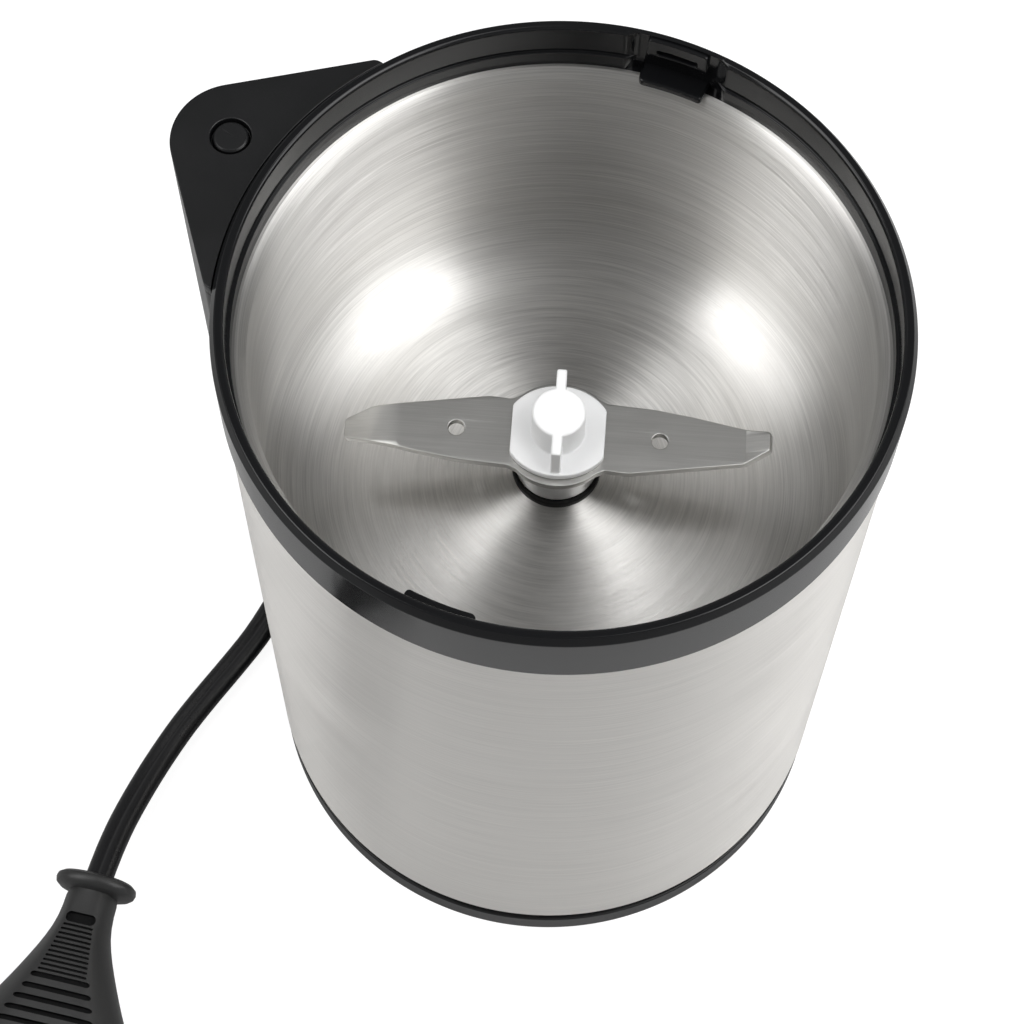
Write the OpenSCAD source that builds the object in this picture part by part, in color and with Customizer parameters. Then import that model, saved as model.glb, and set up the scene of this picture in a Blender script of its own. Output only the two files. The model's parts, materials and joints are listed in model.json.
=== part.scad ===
// Electric spice grinder, open: body, bowl, blade, motor, lid switch, mains cord and plug.
// Origin: shaft axis at the plane that the feet rest on. +Z up, switch housing towards -X,
// cord exit towards +Y. Millimetres.

/* [Body] */
// Height from the resting plane to the top of the ring
body_h = 138; // [134:1:146]
// Outer diameter of the steel shell
shell_d = 95; // [94.5:0.5:98]
// Wall of the steel shell
shell_wall = 0.8; // [0.6:0.1:1]
// Wall of the inner housing
housing_wall = 1.6; // [1.4:0.1:2]
// Wall of the base cover's floor
base_floor = 2.5; // [2:0.1:3]
// Height of the lower edge of the shell above the resting plane
shell_z = 9.2; // [8.8:0.1:10]
// Height of the base cover's side face
base_face_h = 5.4; // [4.6:0.1:5.6]
// Depth of the shadow groove between shell and base
groove_depth = 1.5; // [1:0.1:2]
// Thickness of the rubber foot ring
foot_h = 1.8; // [1.4:0.1:2]
// Width of the rubber foot ring
foot_w = 6; // [4:0.5:8]

/* [Top ring] */
// How far the ring stands proud of the shell
ring_proud = 0.5; // [0.4:0.1:1]
// Height of the ring's outer band
ring_h = 11.4; // [11:0.1:12]
// Wall of the ring at the lid seat
seat_wall = 2; // [1.9:0.1:2.3]
// Depth of the lid seat below the ring's top
seat_depth = 5.5; // [5:0.1:6]
// Step from the lid seat down to the bowl's rim
seat_step = 0.6; // [0.5:0.1:0.7]
// Height of the bevel round the ring's top
bevel_h = 1.2; // [0.8:0.1:1.4]
// Width of the bevel round the ring's top
bevel_w = 0.7; // [0.4:0.1:0.9]
// How far the two lid tabs reach inwards
tab_reach = 2.6; // [2:0.1:3]
// Thickness of the lid tabs
tab_t = 1.2; // [0.8:0.1:1.6]
// Width of the lid tabs as an angle
tab_angle = 12.6; // [10:0.2:16]
// Direction of the line through the two lid tabs
tab_dir = 100.6; // [95:0.1:105]
// Height of the lock bar above the rear tab
bar_h = 3.7; // [3:0.1:4]
// Width of the lock bar as an angle
bar_angle = 11.2; // [8:0.2:12]
// Height of the slot in the lock bar
bar_slot_h = 1; // [0.8:0.1:1.4]
// Depth of the recess round the lock bar
recess_depth = 0.6; // [0.3:0.1:0.9]
// Width of the recess round the lock bar as an angle
recess_angle = 17.6; // [16:0.2:22]

/* [Bowl] */
// Wall of the bowl
bowl_wall = 0.7; // [0.6:0.1:0.9]
// Depth of the bowl's rim below the ring's top
rim_depth = 8.3; // [8:0.1:8.8]
// Height of the bowl's lowest ring above the resting plane
floor_h = 85; // [84:0.5:88]
// Radius of the bowl's lower corner
bowl_corner = 11; // [8:0.5:13]
// How far the bowl's shoulder widens to the rim
shoulder_w = 1.4; // [1:0.1:1.5]
// Height of the bowl's shoulder
shoulder_h = 4.5; // [3.5:0.1:5]
// Rise of the bowl's floor towards the shaft, in degrees
floor_slope = 9; // [5:0.5:10]
// Radius of the seal's hole in the bowl
seal_hole_r = 5.9; // [5.5:0.1:6.2]

/* [Blade and hub] */
// Length of the blade
blade_l = 63.6; // [58:0.2:66]
// Thickness of the blade
blade_t = 1.2; // [1:0.1:1.6]
// Height of the blade's upper face above the bowl's lowest ring
blade_rise = 15.6; // [15:0.1:18]
// Direction of the blade at rest
blade_dir = 27.5; // [0:0.5:180]
// Distance between the two holes in the blade
blade_hole_gap = 30.2; // [26:0.2:36]
// Radius of the two holes in the blade
blade_hole_r = 1.2; // [0.8:0.1:1.5]
// Upward and downward bend of the blade's tips, in degrees
tip_bend = 22; // [10:1:30]
// Length of the bent tips
tip_l = 4; // [3:0.1:5]
// Radius of the hub cap
cap_r = 7.25; // [6.6:0.05:7.6]
// Distance between the hub cap's two flats
cap_flats = 14; // [12.6:0.1:14.4]
// Thickness of the hub cap's disc
cap_t = 1.3; // [1:0.1:1.6]
// Radius of the hub cap's boss
boss_r = 3.95; // [3.6:0.05:4.4]
// Height of the hub cap's boss and fin
boss_h = 6.3; // [6:0.1:7]
// Thickness of the hub cap's fin
fin_t = 1.5; // [1.2:0.1:2]
// Radius of the steel collar under the hub
collar_r = 5.6; // [5.2:0.1:5.8]
// Radius of the seal's visible rim
seal_r = 6.75; // [6.5:0.05:7.2]

/* [Motor] */
// Radius of the shaft
shaft_r = 4; // [3.6:0.1:4.2]
// Radius of the shaft's threaded top and lower journal
journal_r = 2.5; // [2.2:0.1:2.8]
// Radial running clearance of shaft and plunger
run_fit = 0.05; // [0.03:0.01:0.08]
// Height of the lamination stack
stack_h = 22; // [20:1:24]
// Length of the lamination stack along X
stack_x = 54; // [52:1:56]
// Width of the lamination stack along Y
stack_y = 44; // [42:1:46]
// Radius of the armature
armature_r = 15; // [14:0.1:15.4]
// Air gap between armature and stator
air_gap = 0.4; // [0.3:0.1:0.6]
// Radius of the commutator
comm_r = 9.5; // [9:0.1:10]
// Number of armature slots
slots = 12; // [8:1:14]

/* [Switch housing] */
// How far the switch housing reaches out from the shell
tower_out = 15.5; // [15.3:0.1:17]
// Radius of the switch housing's outer end
tower_r = 9.2; // [8.8:0.1:9.6]
// Half width of the switch housing at the body
tower_half = 21.6; // [21:0.2:23]
// Half angle of the switch housing's straight sides
tower_side = 43.3; // [42:0.1:45]
// Wall of the switch housing
tower_wall = 1.5; // [1.3:0.1:1.6]
// Length of the switch housing from its top to its underside
tower_l = 90.6; // [88:0.2:94]
// Depth of the switch housing's top below the ring's top
tower_drop = 1.4; // [1:0.1:2]
// Thickness of the switch housing's cover
cover_t = 2; // [1.6:0.1:2.4]
// Radius of the plunger
plunger_r = 2.5; // [2.3:0.05:2.6]
// Travel of the plunger
plunger_travel = 2; // [1.5:0.1:2.2]

/* [Cord] */
// Width of the flat mains cord
cord_w = 5; // [4.8:0.1:5.4]
// Thickness of the flat mains cord
cord_t = 3.2; // [3:0.1:3.4]
// Length of the strain relief outside the body
boot_l = 22; // [21:0.5:22]
// Radius of the plug's pins
pin_r = 2; // [1.8:0.05:2.2]
// Length of the plug's pins
pin_l = 19; // [17:0.5:20]
// Distance between the plug's pins
pin_gap = 18.6; // [17.5:0.1:19.2]
// Length of the plug from its finger guard to its face
plug_l = 38; // [36:0.5:40]

/* [Hidden] */
$fn = 96;
eps = 0.01;
// Clearance between parts that are pushed together
fit_gap = 0.3;
// Clearance of a seated part that is held tight
seat_gap = 0.1;
// Clearance of a bearing or screw in its bore
snug = 0.02;

// Radii from the outside in
shell_r = shell_d / 2;
shell_in = shell_r - shell_wall;
housing_r = shell_in - fit_gap;
housing_in = housing_r - housing_wall;
bowl_out = housing_in - fit_gap;
bowl_in = bowl_out - bowl_wall;
ring_r = shell_r + ring_proud;
seat_r = ring_r - seat_wall;
ledge_r = seat_r - seat_step;
rim_r = bowl_in + shoulder_w;
flange_r = shell_in - 0.55;
base_r = shell_r - seat_gap;

// Heights
ring_z = body_h - ring_h;
seat_z = body_h - seat_depth;
rim_z = body_h - rim_depth;
shoulder_z = rim_z - shoulder_h;
spigot_top = shoulder_z - seat_gap;
housing_top = spigot_top - 4.6;
floor_z = floor_h;
corner_c = [bowl_in - bowl_corner, floor_z + bowl_corner];
base_z = foot_h - 0.8;
base_top = base_z + base_face_h;
spigot_z = shell_z + 4.8;
lip_top = shell_z + shell_wall;

// Height of the bowl's floor at a radius, on the upper side
function floor_at(r) = corner_c[1] - bowl_corner * cos(floor_slope)
    + (corner_c[0] - bowl_corner * sin(floor_slope) - r) * tan(floor_slope);

// Motor stack, hung under the bowl's floor
bridge_t = 4;
mount_h = 5.5;
deck_t = 2.5;
deck_top = floor_z - bowl_wall - fit_gap - 2;
deck_z = deck_top - deck_t;
upper_top = deck_z - mount_h;
upper_z = upper_top - bridge_t;
stack_top = upper_z - 7;
stack_z = stack_top - stack_h;
motor_z = stack_z - 21;
comm_z = motor_z + 5.5;
comm_h = 10;
winding_low = stack_z - 5;
winding_top = stack_top + 5.5;
post_x = stack_x / 2 - 5;
post_y = stack_y / 2 - 5;
post_r = 4;
field_r = armature_r + 5.9;
field_x = armature_r + 5.2;
holder_z = comm_z + 1.5;
holder_x = comm_r + 1.5;
holder_l = 14;
upper_bearing_r = 7;
upper_bearing_h = 9;
upper_boss_r = 9.6;
upper_boss_z = deck_top + 3.3;
lower_bearing_r = 6.5;
lower_bearing_h = 7.4;
lower_boss_r = 9;
lower_boss_z = motor_z - 4.2;
screw_r = 1.5;
screw_head_r = 2.9;
screw_head_h = 2.2;
mount_head_r = 3.2;
base_screw_at = housing_in - 6.3;
base_screw_dirs = [30, 150, 270];
pillar_r = 3.6;
pillar_h = 26;
foot_r = base_r - 4;

// Hub, from below
blade_z = floor_z + blade_rise;
hub_base_t = 1.5;
hub_base_r = cap_r - 0.45;
blade_under = blade_z - blade_t;
hub_base_z = blade_under - hub_base_t;
seal_z = floor_at(seal_hole_r) + 0.05;
seal_top = seal_z + 1.4;
seal_under = floor_at(seal_hole_r + 1.4) - bowl_wall / cos(floor_slope) - seat_gap;
collar_z = seal_top + fit_gap;
cap_z = blade_z;
boss_z = cap_z + cap_t;
cap_top = boss_z + boss_h;
blade_hub_r = 7.9;

// Switch housing
tower_reach = shell_r + tower_out;
tower_c = tower_reach - tower_r;
plunger_x = tower_c + 0.8;
tower_top = body_h - tower_drop;
tower_z = tower_top - tower_l;
cover_z = tower_top - cover_t;
tower_floor = 2;
corner_r = 1.5;
side_n = [-cos(90 - tower_side), sin(90 - tower_side)];
guide_z = cover_z - 8.6;
head_gap = 0.43;
plunger_flange_r = plunger_r + 1.7;
flange_top = guide_z - run_fit;
flange_t = 1.5;
spring_top = flange_top - flange_t;
spring_l = 10.5;
spring_floor = spring_top - spring_l;
spring_plate = 2;
spring_r = 3.2;
spring_wire = 0.5;
stem_r = 1.5;
lever_t = 0.4;
lever_z = spring_floor - spring_plate - 1.6;
lever_arm = 8;
switch_size = [6.4, 19.8, 10.2];
switch_x = shell_r + 3.7;
switch_top = lever_z - lever_t - 3;
pivot_z = lever_z - 0.9;
pivot_r = 0.6;
ear_t = 1;
switch_z = switch_top - switch_size[2];
switch_pin_gap = 9.5;
terminal_l = 6.4;
lead_r = 1;
tower_screw_zs = [tower_z + 6, tower_z + 28];
lead_hole_z = tower_z + 17;

// Cord: the floor route in round numbers, and the coil behind the body
cord_z = 1.7;
exit_z = 5.3;
clamp_post_x = 6.4;
boot_in = housing_in - 3;
clamp_y = boot_in - 5.8;
clamp_z = exit_z + cord_t / 2;
clamp_screw_r = 1.2;
coil_c = [-30, 92];
coil_in_r = 24.5;
coil_out_r = 30;
coil_z = 0.5;
coil_h = 7.2;
coil_gap = 0.25;
tie_t = 0.4;
boot_end = shell_r + boot_l;
boot_w = 8;
boot_t = 5.8;
tail_end = clamp_y - 8;
lead_out = 9;
lead_y = stack_y / 2 + 5;
to_coil = [[0, 69.5, 5.3], [0, 73, 5.1], [0, 77, 4.2], [0, 81, 3.2], [0, 85, 2.3], [0, 89, 1.8],
    [0, 92, 2.1]];
run = [[-60, 92, 5.2], [-60, 85, 4.9], [-59.9, 78, 4.1], [-59.6, 71, 3], [-59, 64, 2.1],
    [-58.2, 56, 1.7], [-57.2, 48, 1.7], [-56, 40, 1.7], [-54.8, 32, 1.7], [-53.6, 24, 1.7],
    [-52.5, 16, 1.7], [-51.5, 8, 1.7], [-50.6, 0, 1.7], [-49.8, -8, 1.7], [-49.1, -15, 1.7],
    [-48.8, -22, 1.7], [-49.2, -29, 1.7], [-49.8, -36, 1.7], [-50.2, -43, 1.8],
    [-50.1, -50, 2.1], [-49.5, -57, 2.9], [-48.4, -64, 4.1], [-46.9, -70, 5.4],
    [-45.2, -75.4, 6.6]];
plug_at = [-45.2, -75.4, 6.9];
plug_dir = -71.5;
guard_r = 7.1;
guard_t = 2.6;
neck_w = 9.4;
face_w = 35.3;
face_t = 13.7;
sleeve_l = 10;
sleeve_r = pin_r - 0.25;

module tube(r_out, r_in, h) {
    difference() {
        cylinder(r = r_out, h = h);
        translate([0, 0, -1])
            cylinder(r = r_in, h = h + 2);
    }
}

// One angular sector of height h, centred on dir
module sector(r, width, dir, h) {
    rotate(dir - width / 2)
        rotate_extrude(angle = width)
            square([r, h]);
}

// A screw standing on its head, shank upwards
module screw(head_r, head_h, shank_r, shank_l) {
    cylinder(r = head_r, h = head_h);
    translate([0, 0, head_h - eps])
        cylinder(r = shank_r, h = shank_l + eps);
}

module at_posts() {
    for (sx = [-1, 1], sy = [-1, 1])
        translate([sx * post_x, sy * post_y, 0])
            children();
}

module at_stator_screws() {
    for (s = [-1, 1])
        translate([s * post_x, -s * post_y, 0])
            children();
}

// ---------------------------------------------------------------- housing

module outer_shell() {
    color("silver")
        difference() {
            union() {
                translate([0, 0, shell_z])
                    tube(shell_r, shell_in, ring_z - shell_z);
                translate([0, 0, shell_z])
                    tube(shell_r - shell_wall / 2, housing_in, shell_wall);
            }
            tower_passages();
        }
}

module top_ring() {
    tab_z = rim_z + seat_gap;
    bar_z = body_h - 0.3 - bar_h;
    color([0.1, 0.1, 0.11])
        difference() {
            union() {
                difference() {
                    rotate_extrude()
                        polygon([[ring_r, ring_z], [ring_r, body_h - bevel_h],
                            [ring_r - bevel_w, body_h], [seat_r + 0.3, body_h],
                            [seat_r, body_h - 0.3], [seat_r, seat_z], [ledge_r, seat_z],
                            [ledge_r, rim_z], [flange_r + 0.1, rim_z],
                            [flange_r + 0.1, ring_z + 1], [housing_in + 0.3, ring_z + 0.4],
                            [housing_in + 0.3, spigot_top], [housing_in, spigot_top],
                            [housing_in, housing_top], [shell_in - seat_gap, housing_top],
                            [shell_in - seat_gap, ring_z]]);
                    inner_arc(seat_r + recess_depth, 0, recess_angle, tab_z, body_h + 1 - tab_z, 0);
                }
                for (turn = [0, 180])
                    inner_arc(seat_r + recess_depth + 0.2, seat_r - tab_reach, tab_angle, tab_z,
                        tab_t, turn);
                inner_arc(seat_r + recess_depth + 0.2, seat_r - 0.1, bar_angle, bar_z, bar_h, 0);
            }
            inner_arc(seat_r + recess_depth, 0, bar_angle - 3.8, bar_z + 0.6, bar_slot_h, 0);
        }
}

// A block on the ring's inner wall between two radii, round the tabs' direction
module inner_arc(r_out, r_in, width, z, h, turn) {
    translate([0, 0, z])
        difference() {
            sector(r_out, width, tab_dir + turn, h);
            if (r_in > 0)
                translate([0, 0, -1])
                    cylinder(r = r_in, h = h + 2);
        }
}

// The bowl's wall between two radii of its corner and a normal offset from the inner face
function bowl_side(off) = concat(
    [[seal_hole_r, floor_at(seal_hole_r) - off / cos(floor_slope)]],
    [for (i = [0 : 12]) let (a = -90 - floor_slope + i * (90 + floor_slope) / 12)
        corner_c + (bowl_corner + off) * [cos(a), sin(a)]],
    [for (i = [0 : 8]) let (t = i * 90 / 8)
        [bowl_in + off + shoulder_w * (1 - cos(t)), shoulder_z + (shoulder_h - off) * sin(t)]]);

function reversed(list) = [for (i = [len(list) - 1 : -1 : 0]) list[i]];

module grinding_bowl() {
    color([0.78, 0.78, 0.77])
        rotate_extrude()
            polygon(concat(bowl_side(0), [[flange_r, rim_z], [flange_r, rim_z - bowl_wall]],
                reversed(bowl_side(bowl_wall))));
}

module inner_housing() {
    rib_r = norm([post_x, post_y]) + mount_head_r + 1.8;
    color([0.16, 0.16, 0.17])
        difference() {
            union() {
                translate([0, 0, lip_top])
                    tube(housing_r, housing_in, housing_top - lip_top);
                translate([0, 0, deck_z])
                    cylinder(r = housing_in + eps, h = deck_t);
                translate([0, 0, deck_top - eps])
                    tube(rib_r + 1.2, rib_r - 1.2, floor_z - bowl_wall - fit_gap - deck_top + eps);
                for (dir = base_screw_dirs)
                    rotate(dir) {
                        translate([base_screw_at, 0, spigot_z])
                            cylinder(r = pillar_r, h = pillar_h);
                        translate([base_screw_at, -0.9, spigot_z])
                            cube([housing_in - base_screw_at + 0.4, 1.8, pillar_h]);
                    }
                for (z = tower_screw_zs)
                    translate([-housing_in - 0.4, 0, z])
                        rotate([0, 90, 0])
                            cylinder(r = 4, h = 2.2);
            }
            translate([0, 0, deck_z - 1])
                cylinder(r = upper_boss_r + 0.4, h = deck_t + 2);
            at_posts()
                translate([0, 0, deck_z - 1])
                    cylinder(r = 2, h = deck_t + 2);
            for (dir = base_screw_dirs)
                rotate(dir)
                    translate([base_screw_at, 0, spigot_z - 1])
                        cylinder(r = screw_r + snug, h = pillar_h - 2);
            tower_passages();
        }
}

// Holes through shell and inner housing for the switch housing's screws and leads
module tower_passages() {
    for (z = tower_screw_zs)
        translate([-shell_r - 1, 0, z])
            rotate([0, 90, 0])
                cylinder(r = screw_r + 0.2, h = 8);
    translate([-shell_r - 1, 0, lead_hole_z])
        rotate([0, 90, 0])
            cylinder(r = 4, h = 8);
}

module base_cover() {
    color([0.1, 0.1, 0.11])
        difference() {
            union() {
                rotate_extrude()
                    polygon([[0, base_z], [base_r - 0.6, base_z], [base_r, base_z + 0.6],
                        [base_r, base_top], [shell_r - groove_depth, base_top],
                        [shell_r - groove_depth, shell_z], [housing_in - seat_gap, shell_z],
                        [housing_in - seat_gap, spigot_z], [housing_in - 1.7, spigot_z],
                        [housing_in - 1.7, base_z + base_floor], [0, base_z + base_floor]]);
                for (dir = base_screw_dirs)
                    rotate(dir)
                        translate([base_screw_at, 0, base_z])
                            cylinder(r = pillar_r, h = spigot_z - base_z);
                for (s = [-1, 1])
                    translate([s * clamp_post_x, clamp_y, base_z + base_floor - eps])
                        cylinder(r = 2.3, h = clamp_z - base_z - base_floor + eps);
                translate([-2.5, clamp_y - 2.5, base_z + base_floor - eps])
                    cube([5, 5, exit_z - cord_t / 2 - base_z - base_floor + eps]);
            }
            foot_groove();
            for (dir = base_screw_dirs)
                rotate(dir)
                    translate([base_screw_at, 0, 0]) {
                        cylinder(r = screw_r + 0.2, h = spigot_z + 1);
                        cylinder(r = screw_head_r + 0.3, h = base_z + 1 + screw_head_h);
                    }
            for (s = [-1, 1])
                translate([s * clamp_post_x, clamp_y, base_z + 1])
                    cylinder(r = clamp_screw_r + snug, h = spigot_z);
            // Slot for the strain relief
            translate([-boot_w / 2 - 0.1, boot_in - 0.1, exit_z - boot_t / 2 - 0.1])
                cube([boot_w + 0.2, 8, boot_t + 0.2]);
            // Air slots
            for (i = [-3 : 3])
                translate([i * 5 - 1, -14, base_z - 1])
                    cube([2, 28, base_floor + 2]);
        }
}

module foot_groove() {
    translate([0, 0, -1])
        tube(foot_r + seat_gap, foot_r - foot_w - seat_gap, foot_h + 1);
}

module foot_ring() {
    color([0.18, 0.18, 0.18])
        difference() {
            tube(foot_r, foot_r - foot_w, foot_h);
            for (dir = base_screw_dirs)
                rotate(dir)
                    translate([base_screw_at, 0, -1])
                        cylinder(r = screw_head_r + 0.3, h = foot_h + 2);
        }
}

module base_screws() {
    color("gray")
        for (dir = base_screw_dirs)
            rotate(dir)
                translate([base_screw_at, 0, base_z + 1])
                    screw(screw_head_r, screw_head_h, screw_r, spigot_z + 16 - base_z);
}

// ---------------------------------------------------------------- switch housing

// Where the straight side, set in by i, meets the end line, set in by i
function side_corner(i) = let (y = tower_half - i)
    [-tower_c + ((tower_r - i) - y * side_n[1]) / side_n[0], y];

function corner_centre(i) = let (y = tower_half - i - corner_r)
    [-tower_c + ((tower_r - i - corner_r) - y * side_n[1]) / side_n[0], y];

function half_outline(i, rounded) = let (t = [-tower_c, 0] + (tower_r - i) * side_n,
    k = corner_centre(i))
    concat([[-tower_c, 0], t], rounded ? [k + corner_r * side_n, k + [0, corner_r]]
        : [side_corner(i)], [[-shell_r + 12, tower_half - i], [-shell_r + 12, 0]]);

// The plan shape of the switch housing, set in by i from its outer faces
module tower_plan(i, rounded) {
    for (m = [0, 1])
        mirror([0, m, 0]) {
            polygon(half_outline(i, rounded));
            if (rounded)
                translate(corner_centre(i))
                    circle(r = corner_r);
        }
    translate([-tower_c, 0])
        circle(r = tower_r - i);
}

// A round post along X from the housing's outer wall to a face at -x_end
module tower_post(r, y, z, x_end) {
    translate([-tower_reach, y, z])
        rotate([0, 90, 0])
            cylinder(r = r, h = tower_reach - x_end);
}

module side_housing() {
    switch_face = switch_x + switch_size[0] / 2;
    color([0.13, 0.13, 0.14])
        difference() {
            union() {
                difference() {
                    translate([0, 0, tower_z])
                        linear_extrude(cover_z - tower_z)
                            tower_plan(0, true);
                    translate([0, 0, tower_z + tower_floor])
                        linear_extrude(cover_z)
                            tower_plan(tower_wall, false);
                }
                intersection() {
                    translate([0, 0, tower_z + 1])
                        linear_extrude(cover_z - tower_z - 2)
                            tower_plan(tower_wall / 2, false);
                    union() {
                        translate([-tower_reach, -9, spring_floor - spring_plate])
                            cube([tower_reach - shell_r - 1, 18, spring_plate]);
                        for (z = tower_screw_zs)
                            tower_post(3.4, 0, z, shell_r + fit_gap);
                        for (s = [-1, 1]) {
                            tower_post(2.4, s * switch_pin_gap / 2, switch_z + 3, switch_face);
                            tower_post(1.1, s * switch_pin_gap / 2, switch_z + 3,
                                switch_face - switch_size[0] + 0.4);
                        }
                    }
                }
            }
            // Room for the shell and for the ring's band
            translate([0, 0, tower_z - 1])
                cylinder(r = shell_r + 0.2, h = cover_z);
            translate([0, 0, ring_z - 0.3])
                cylinder(r = ring_r + 0.2, h = cover_z);
            translate([-plunger_x, 0, spring_floor - 5])
                cylinder(r = stem_r + 0.3, h = 8);
            for (z = tower_screw_zs)
                translate([-tower_reach + 4, 0, z])
                    rotate([0, 90, 0])
                        cylinder(r = screw_r + snug, h = tower_reach);
        }
}

module side_housing_cover() {
    color([0.1, 0.1, 0.11])
        difference() {
            union() {
                translate([0, 0, cover_z])
                    linear_extrude(cover_t)
                        tower_plan(0, true);
                translate([0, 0, cover_z - 1.4])
                    linear_extrude(1.5)
                        tower_plan(tower_wall + seat_gap, false);
                translate([-plunger_x, 0, guide_z])
                    cylinder(r = plunger_r + 1.9, h = cover_z - guide_z + eps);
            }
            translate([0, 0, cover_z - 5])
                cylinder(r = ring_r + 0.2, h = 10);
            translate([-plunger_x, 0, guide_z - 1])
                cylinder(r = plunger_r + run_fit, h = 20);
            translate([-plunger_x, 0, tower_top - 1.2])
                cylinder(r = plunger_r + head_gap, h = 5);
        }
}

module side_housing_screws() {
    pad_x = housing_in + 0.4 - 2.2;
    color("gray")
        for (z = tower_screw_zs)
            translate([-pad_x + screw_head_h, 0, z])
                rotate([0, -90, 0])
                    screw(screw_head_r, screw_head_h, screw_r, tower_reach - pad_x - 5);
}

module push_plunger() {
    color([0.14, 0.14, 0.15])
        translate([-plunger_x, 0, 0]) {
            translate([0, 0, spring_top])
                cylinder(r = plunger_r, h = tower_top - 0.35 - spring_top);
            translate([0, 0, tower_top - 0.36])
                cylinder(r1 = plunger_r, r2 = plunger_r - 0.3, h = 0.31);
            translate([0, 0, spring_top])
                cylinder(r = plunger_flange_r, h = flange_t);
            translate([0, 0, lever_z + fit_gap])
                cylinder(r = stem_r, h = spring_top - lever_z);
        }
}

// A helical wire of round section, swept with flat ends
module coil_spring(r, wire_r, length, turns) {
    steps = 14;
    sides = 6;
    rings = turns * steps;
    pitch = (length - 2 * wire_r) / turns;
    points = [for (i = [0 : rings]) let (a = i * 360 / steps)
        for (j = [0 : sides - 1]) let (b = j * 360 / sides)
            [(r + wire_r * cos(b)) * cos(a), (r + wire_r * cos(b)) * sin(a),
                wire_r + pitch * i / steps + wire_r * sin(b)]];
    faces = concat([[for (j = [0 : sides - 1]) j]],
        [[for (j = [sides - 1 : -1 : 0]) rings * sides + j]],
        [for (i = [0 : rings - 1], j = [0 : sides - 1]) let (k = (j + 1) % sides)
            [i * sides + j, (i + 1) * sides + j, (i + 1) * sides + k, i * sides + k]]);
    polyhedron(points, faces, convexity = 4);
}

module plunger_spring() {
    color("silver")
        translate([-plunger_x, 0, spring_floor])
            coil_spring(spring_r, spring_wire / 2, spring_l, 5);
}

module switch_body() {
    color([0.2, 0.2, 0.22])
        difference() {
            union() {
                translate([-switch_x - switch_size[0] / 2, -switch_size[1] / 2, switch_z])
                    cube(switch_size);
                for (x = [-2 - ear_t, 2])
                    translate([-switch_x + x, lever_arm - 1.3, switch_top - eps])
                        cube([ear_t, 2.6, pivot_z + 1.2 - switch_top]);
            }
            translate([-switch_x - 5, lever_arm, pivot_z])
                rotate([0, 90, 0])
                    cylinder(r = pivot_r + run_fit, h = 10);
            for (s = [-1, 1])
                translate([-switch_x - 5, s * switch_pin_gap / 2, switch_z + 3])
                    rotate([0, 90, 0])
                        cylinder(r = 1.1 + snug, h = 10);
            translate([-switch_x, lever_arm / 2, switch_top - 4.2])
                cylinder(r = 1.2 + run_fit, h = 6);
        }
}

module switch_terminals() {
    color("goldenrod")
        for (y = [-7, 0, 7])
            translate([-switch_x - 1.6, y - 0.3, switch_z - terminal_l])
                cube([3.2, 0.6, terminal_l]);
}

// The lever hangs on the switch at its end and lies under the plunger
module switch_lever() {
    paddle_x = plunger_x - switch_x;
    color("silver")
        union() {
            translate([-switch_x - 1.8, -2, lever_z - lever_t])
                cube([3.6, lever_arm + 2, lever_t]);
            translate([-switch_x - paddle_x - 1.8, -2, lever_z - lever_t])
                cube([paddle_x + 2, 4, lever_t]);
            translate([-switch_x - 1.8, lever_arm, pivot_z])
                rotate([0, 90, 0])
                    cylinder(r = lever_z - pivot_z, h = 3.6);
            translate([-switch_x - 2 - ear_t, lever_arm, pivot_z])
                rotate([0, 90, 0])
                    cylinder(r = pivot_r, h = 4 + 2 * ear_t);
        }
}

module switch_button() {
    color("white")
        translate([-switch_x, lever_arm / 2, switch_top - 2.3])
            cylinder(r = 1.2, h = 2.3 + lever_z - lever_t - fit_gap - switch_top);
}

// ---------------------------------------------------------------- swept cords and leads

function unit(v) = v / norm(v);
function tangent(path, i) = unit(path[min(i + 1, len(path) - 1)] - path[max(i - 1, 0)]);
function sideways(t) = abs(t[2]) > 0.9 ? [1, 0, 0] : unit(cross([0, 0, 1], t));

// A closed oval tube along a path: a across, b in height
module sweep(path, a, b, sides) {
    points = [for (i = [0 : len(path) - 1]) let (t = tangent(path, i), s = sideways(t),
        u = cross(t, s)) for (j = [0 : sides - 1]) let (w = (j + 0.5) * 360 / sides)
            path[i] + s * a / 2 * cos(w) + u * b / 2 * sin(w)];
    last = len(path) - 1;
    faces = concat([[for (j = [sides - 1 : -1 : 0]) j]],
        [[for (j = [0 : sides - 1]) last * sides + j]],
        [for (i = [0 : last - 1], j = [0 : sides - 1]) let (k = (j + 1) % sides)
            [i * sides + j, i * sides + k, (i + 1) * sides + k, (i + 1) * sides + j]]);
    polyhedron(points, faces, convexity = 8);
}

module switch_leads() {
    color([0.2, 0.3, 0.75])
        for (s = [-1, 1])
            sweep([[-switch_x, s * 7, switch_z - terminal_l - 0.05],
                [-switch_x, s * 7, switch_z - terminal_l - 1.4], [-switch_x, s * 6.6, switch_z - 14],
                [-switch_x, s * 5, lead_hole_z + 12], [-switch_x, s * 3, lead_hole_z + 5],
                [-switch_x + 1.5, s * 2, lead_hole_z + 1.2], [-shell_r, s * 1.8, lead_hole_z],
                [-housing_in + 2, s * 1.8, lead_hole_z + 0.3], [-38, s * 2.6, lead_hole_z + 1.6],
                [-31, s * 4.5, stack_top + 3.3], [-field_x - fit_gap, s * 6, stack_top + 3.3]],
                lead_r * 2, lead_r * 2, 8);
}

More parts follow.
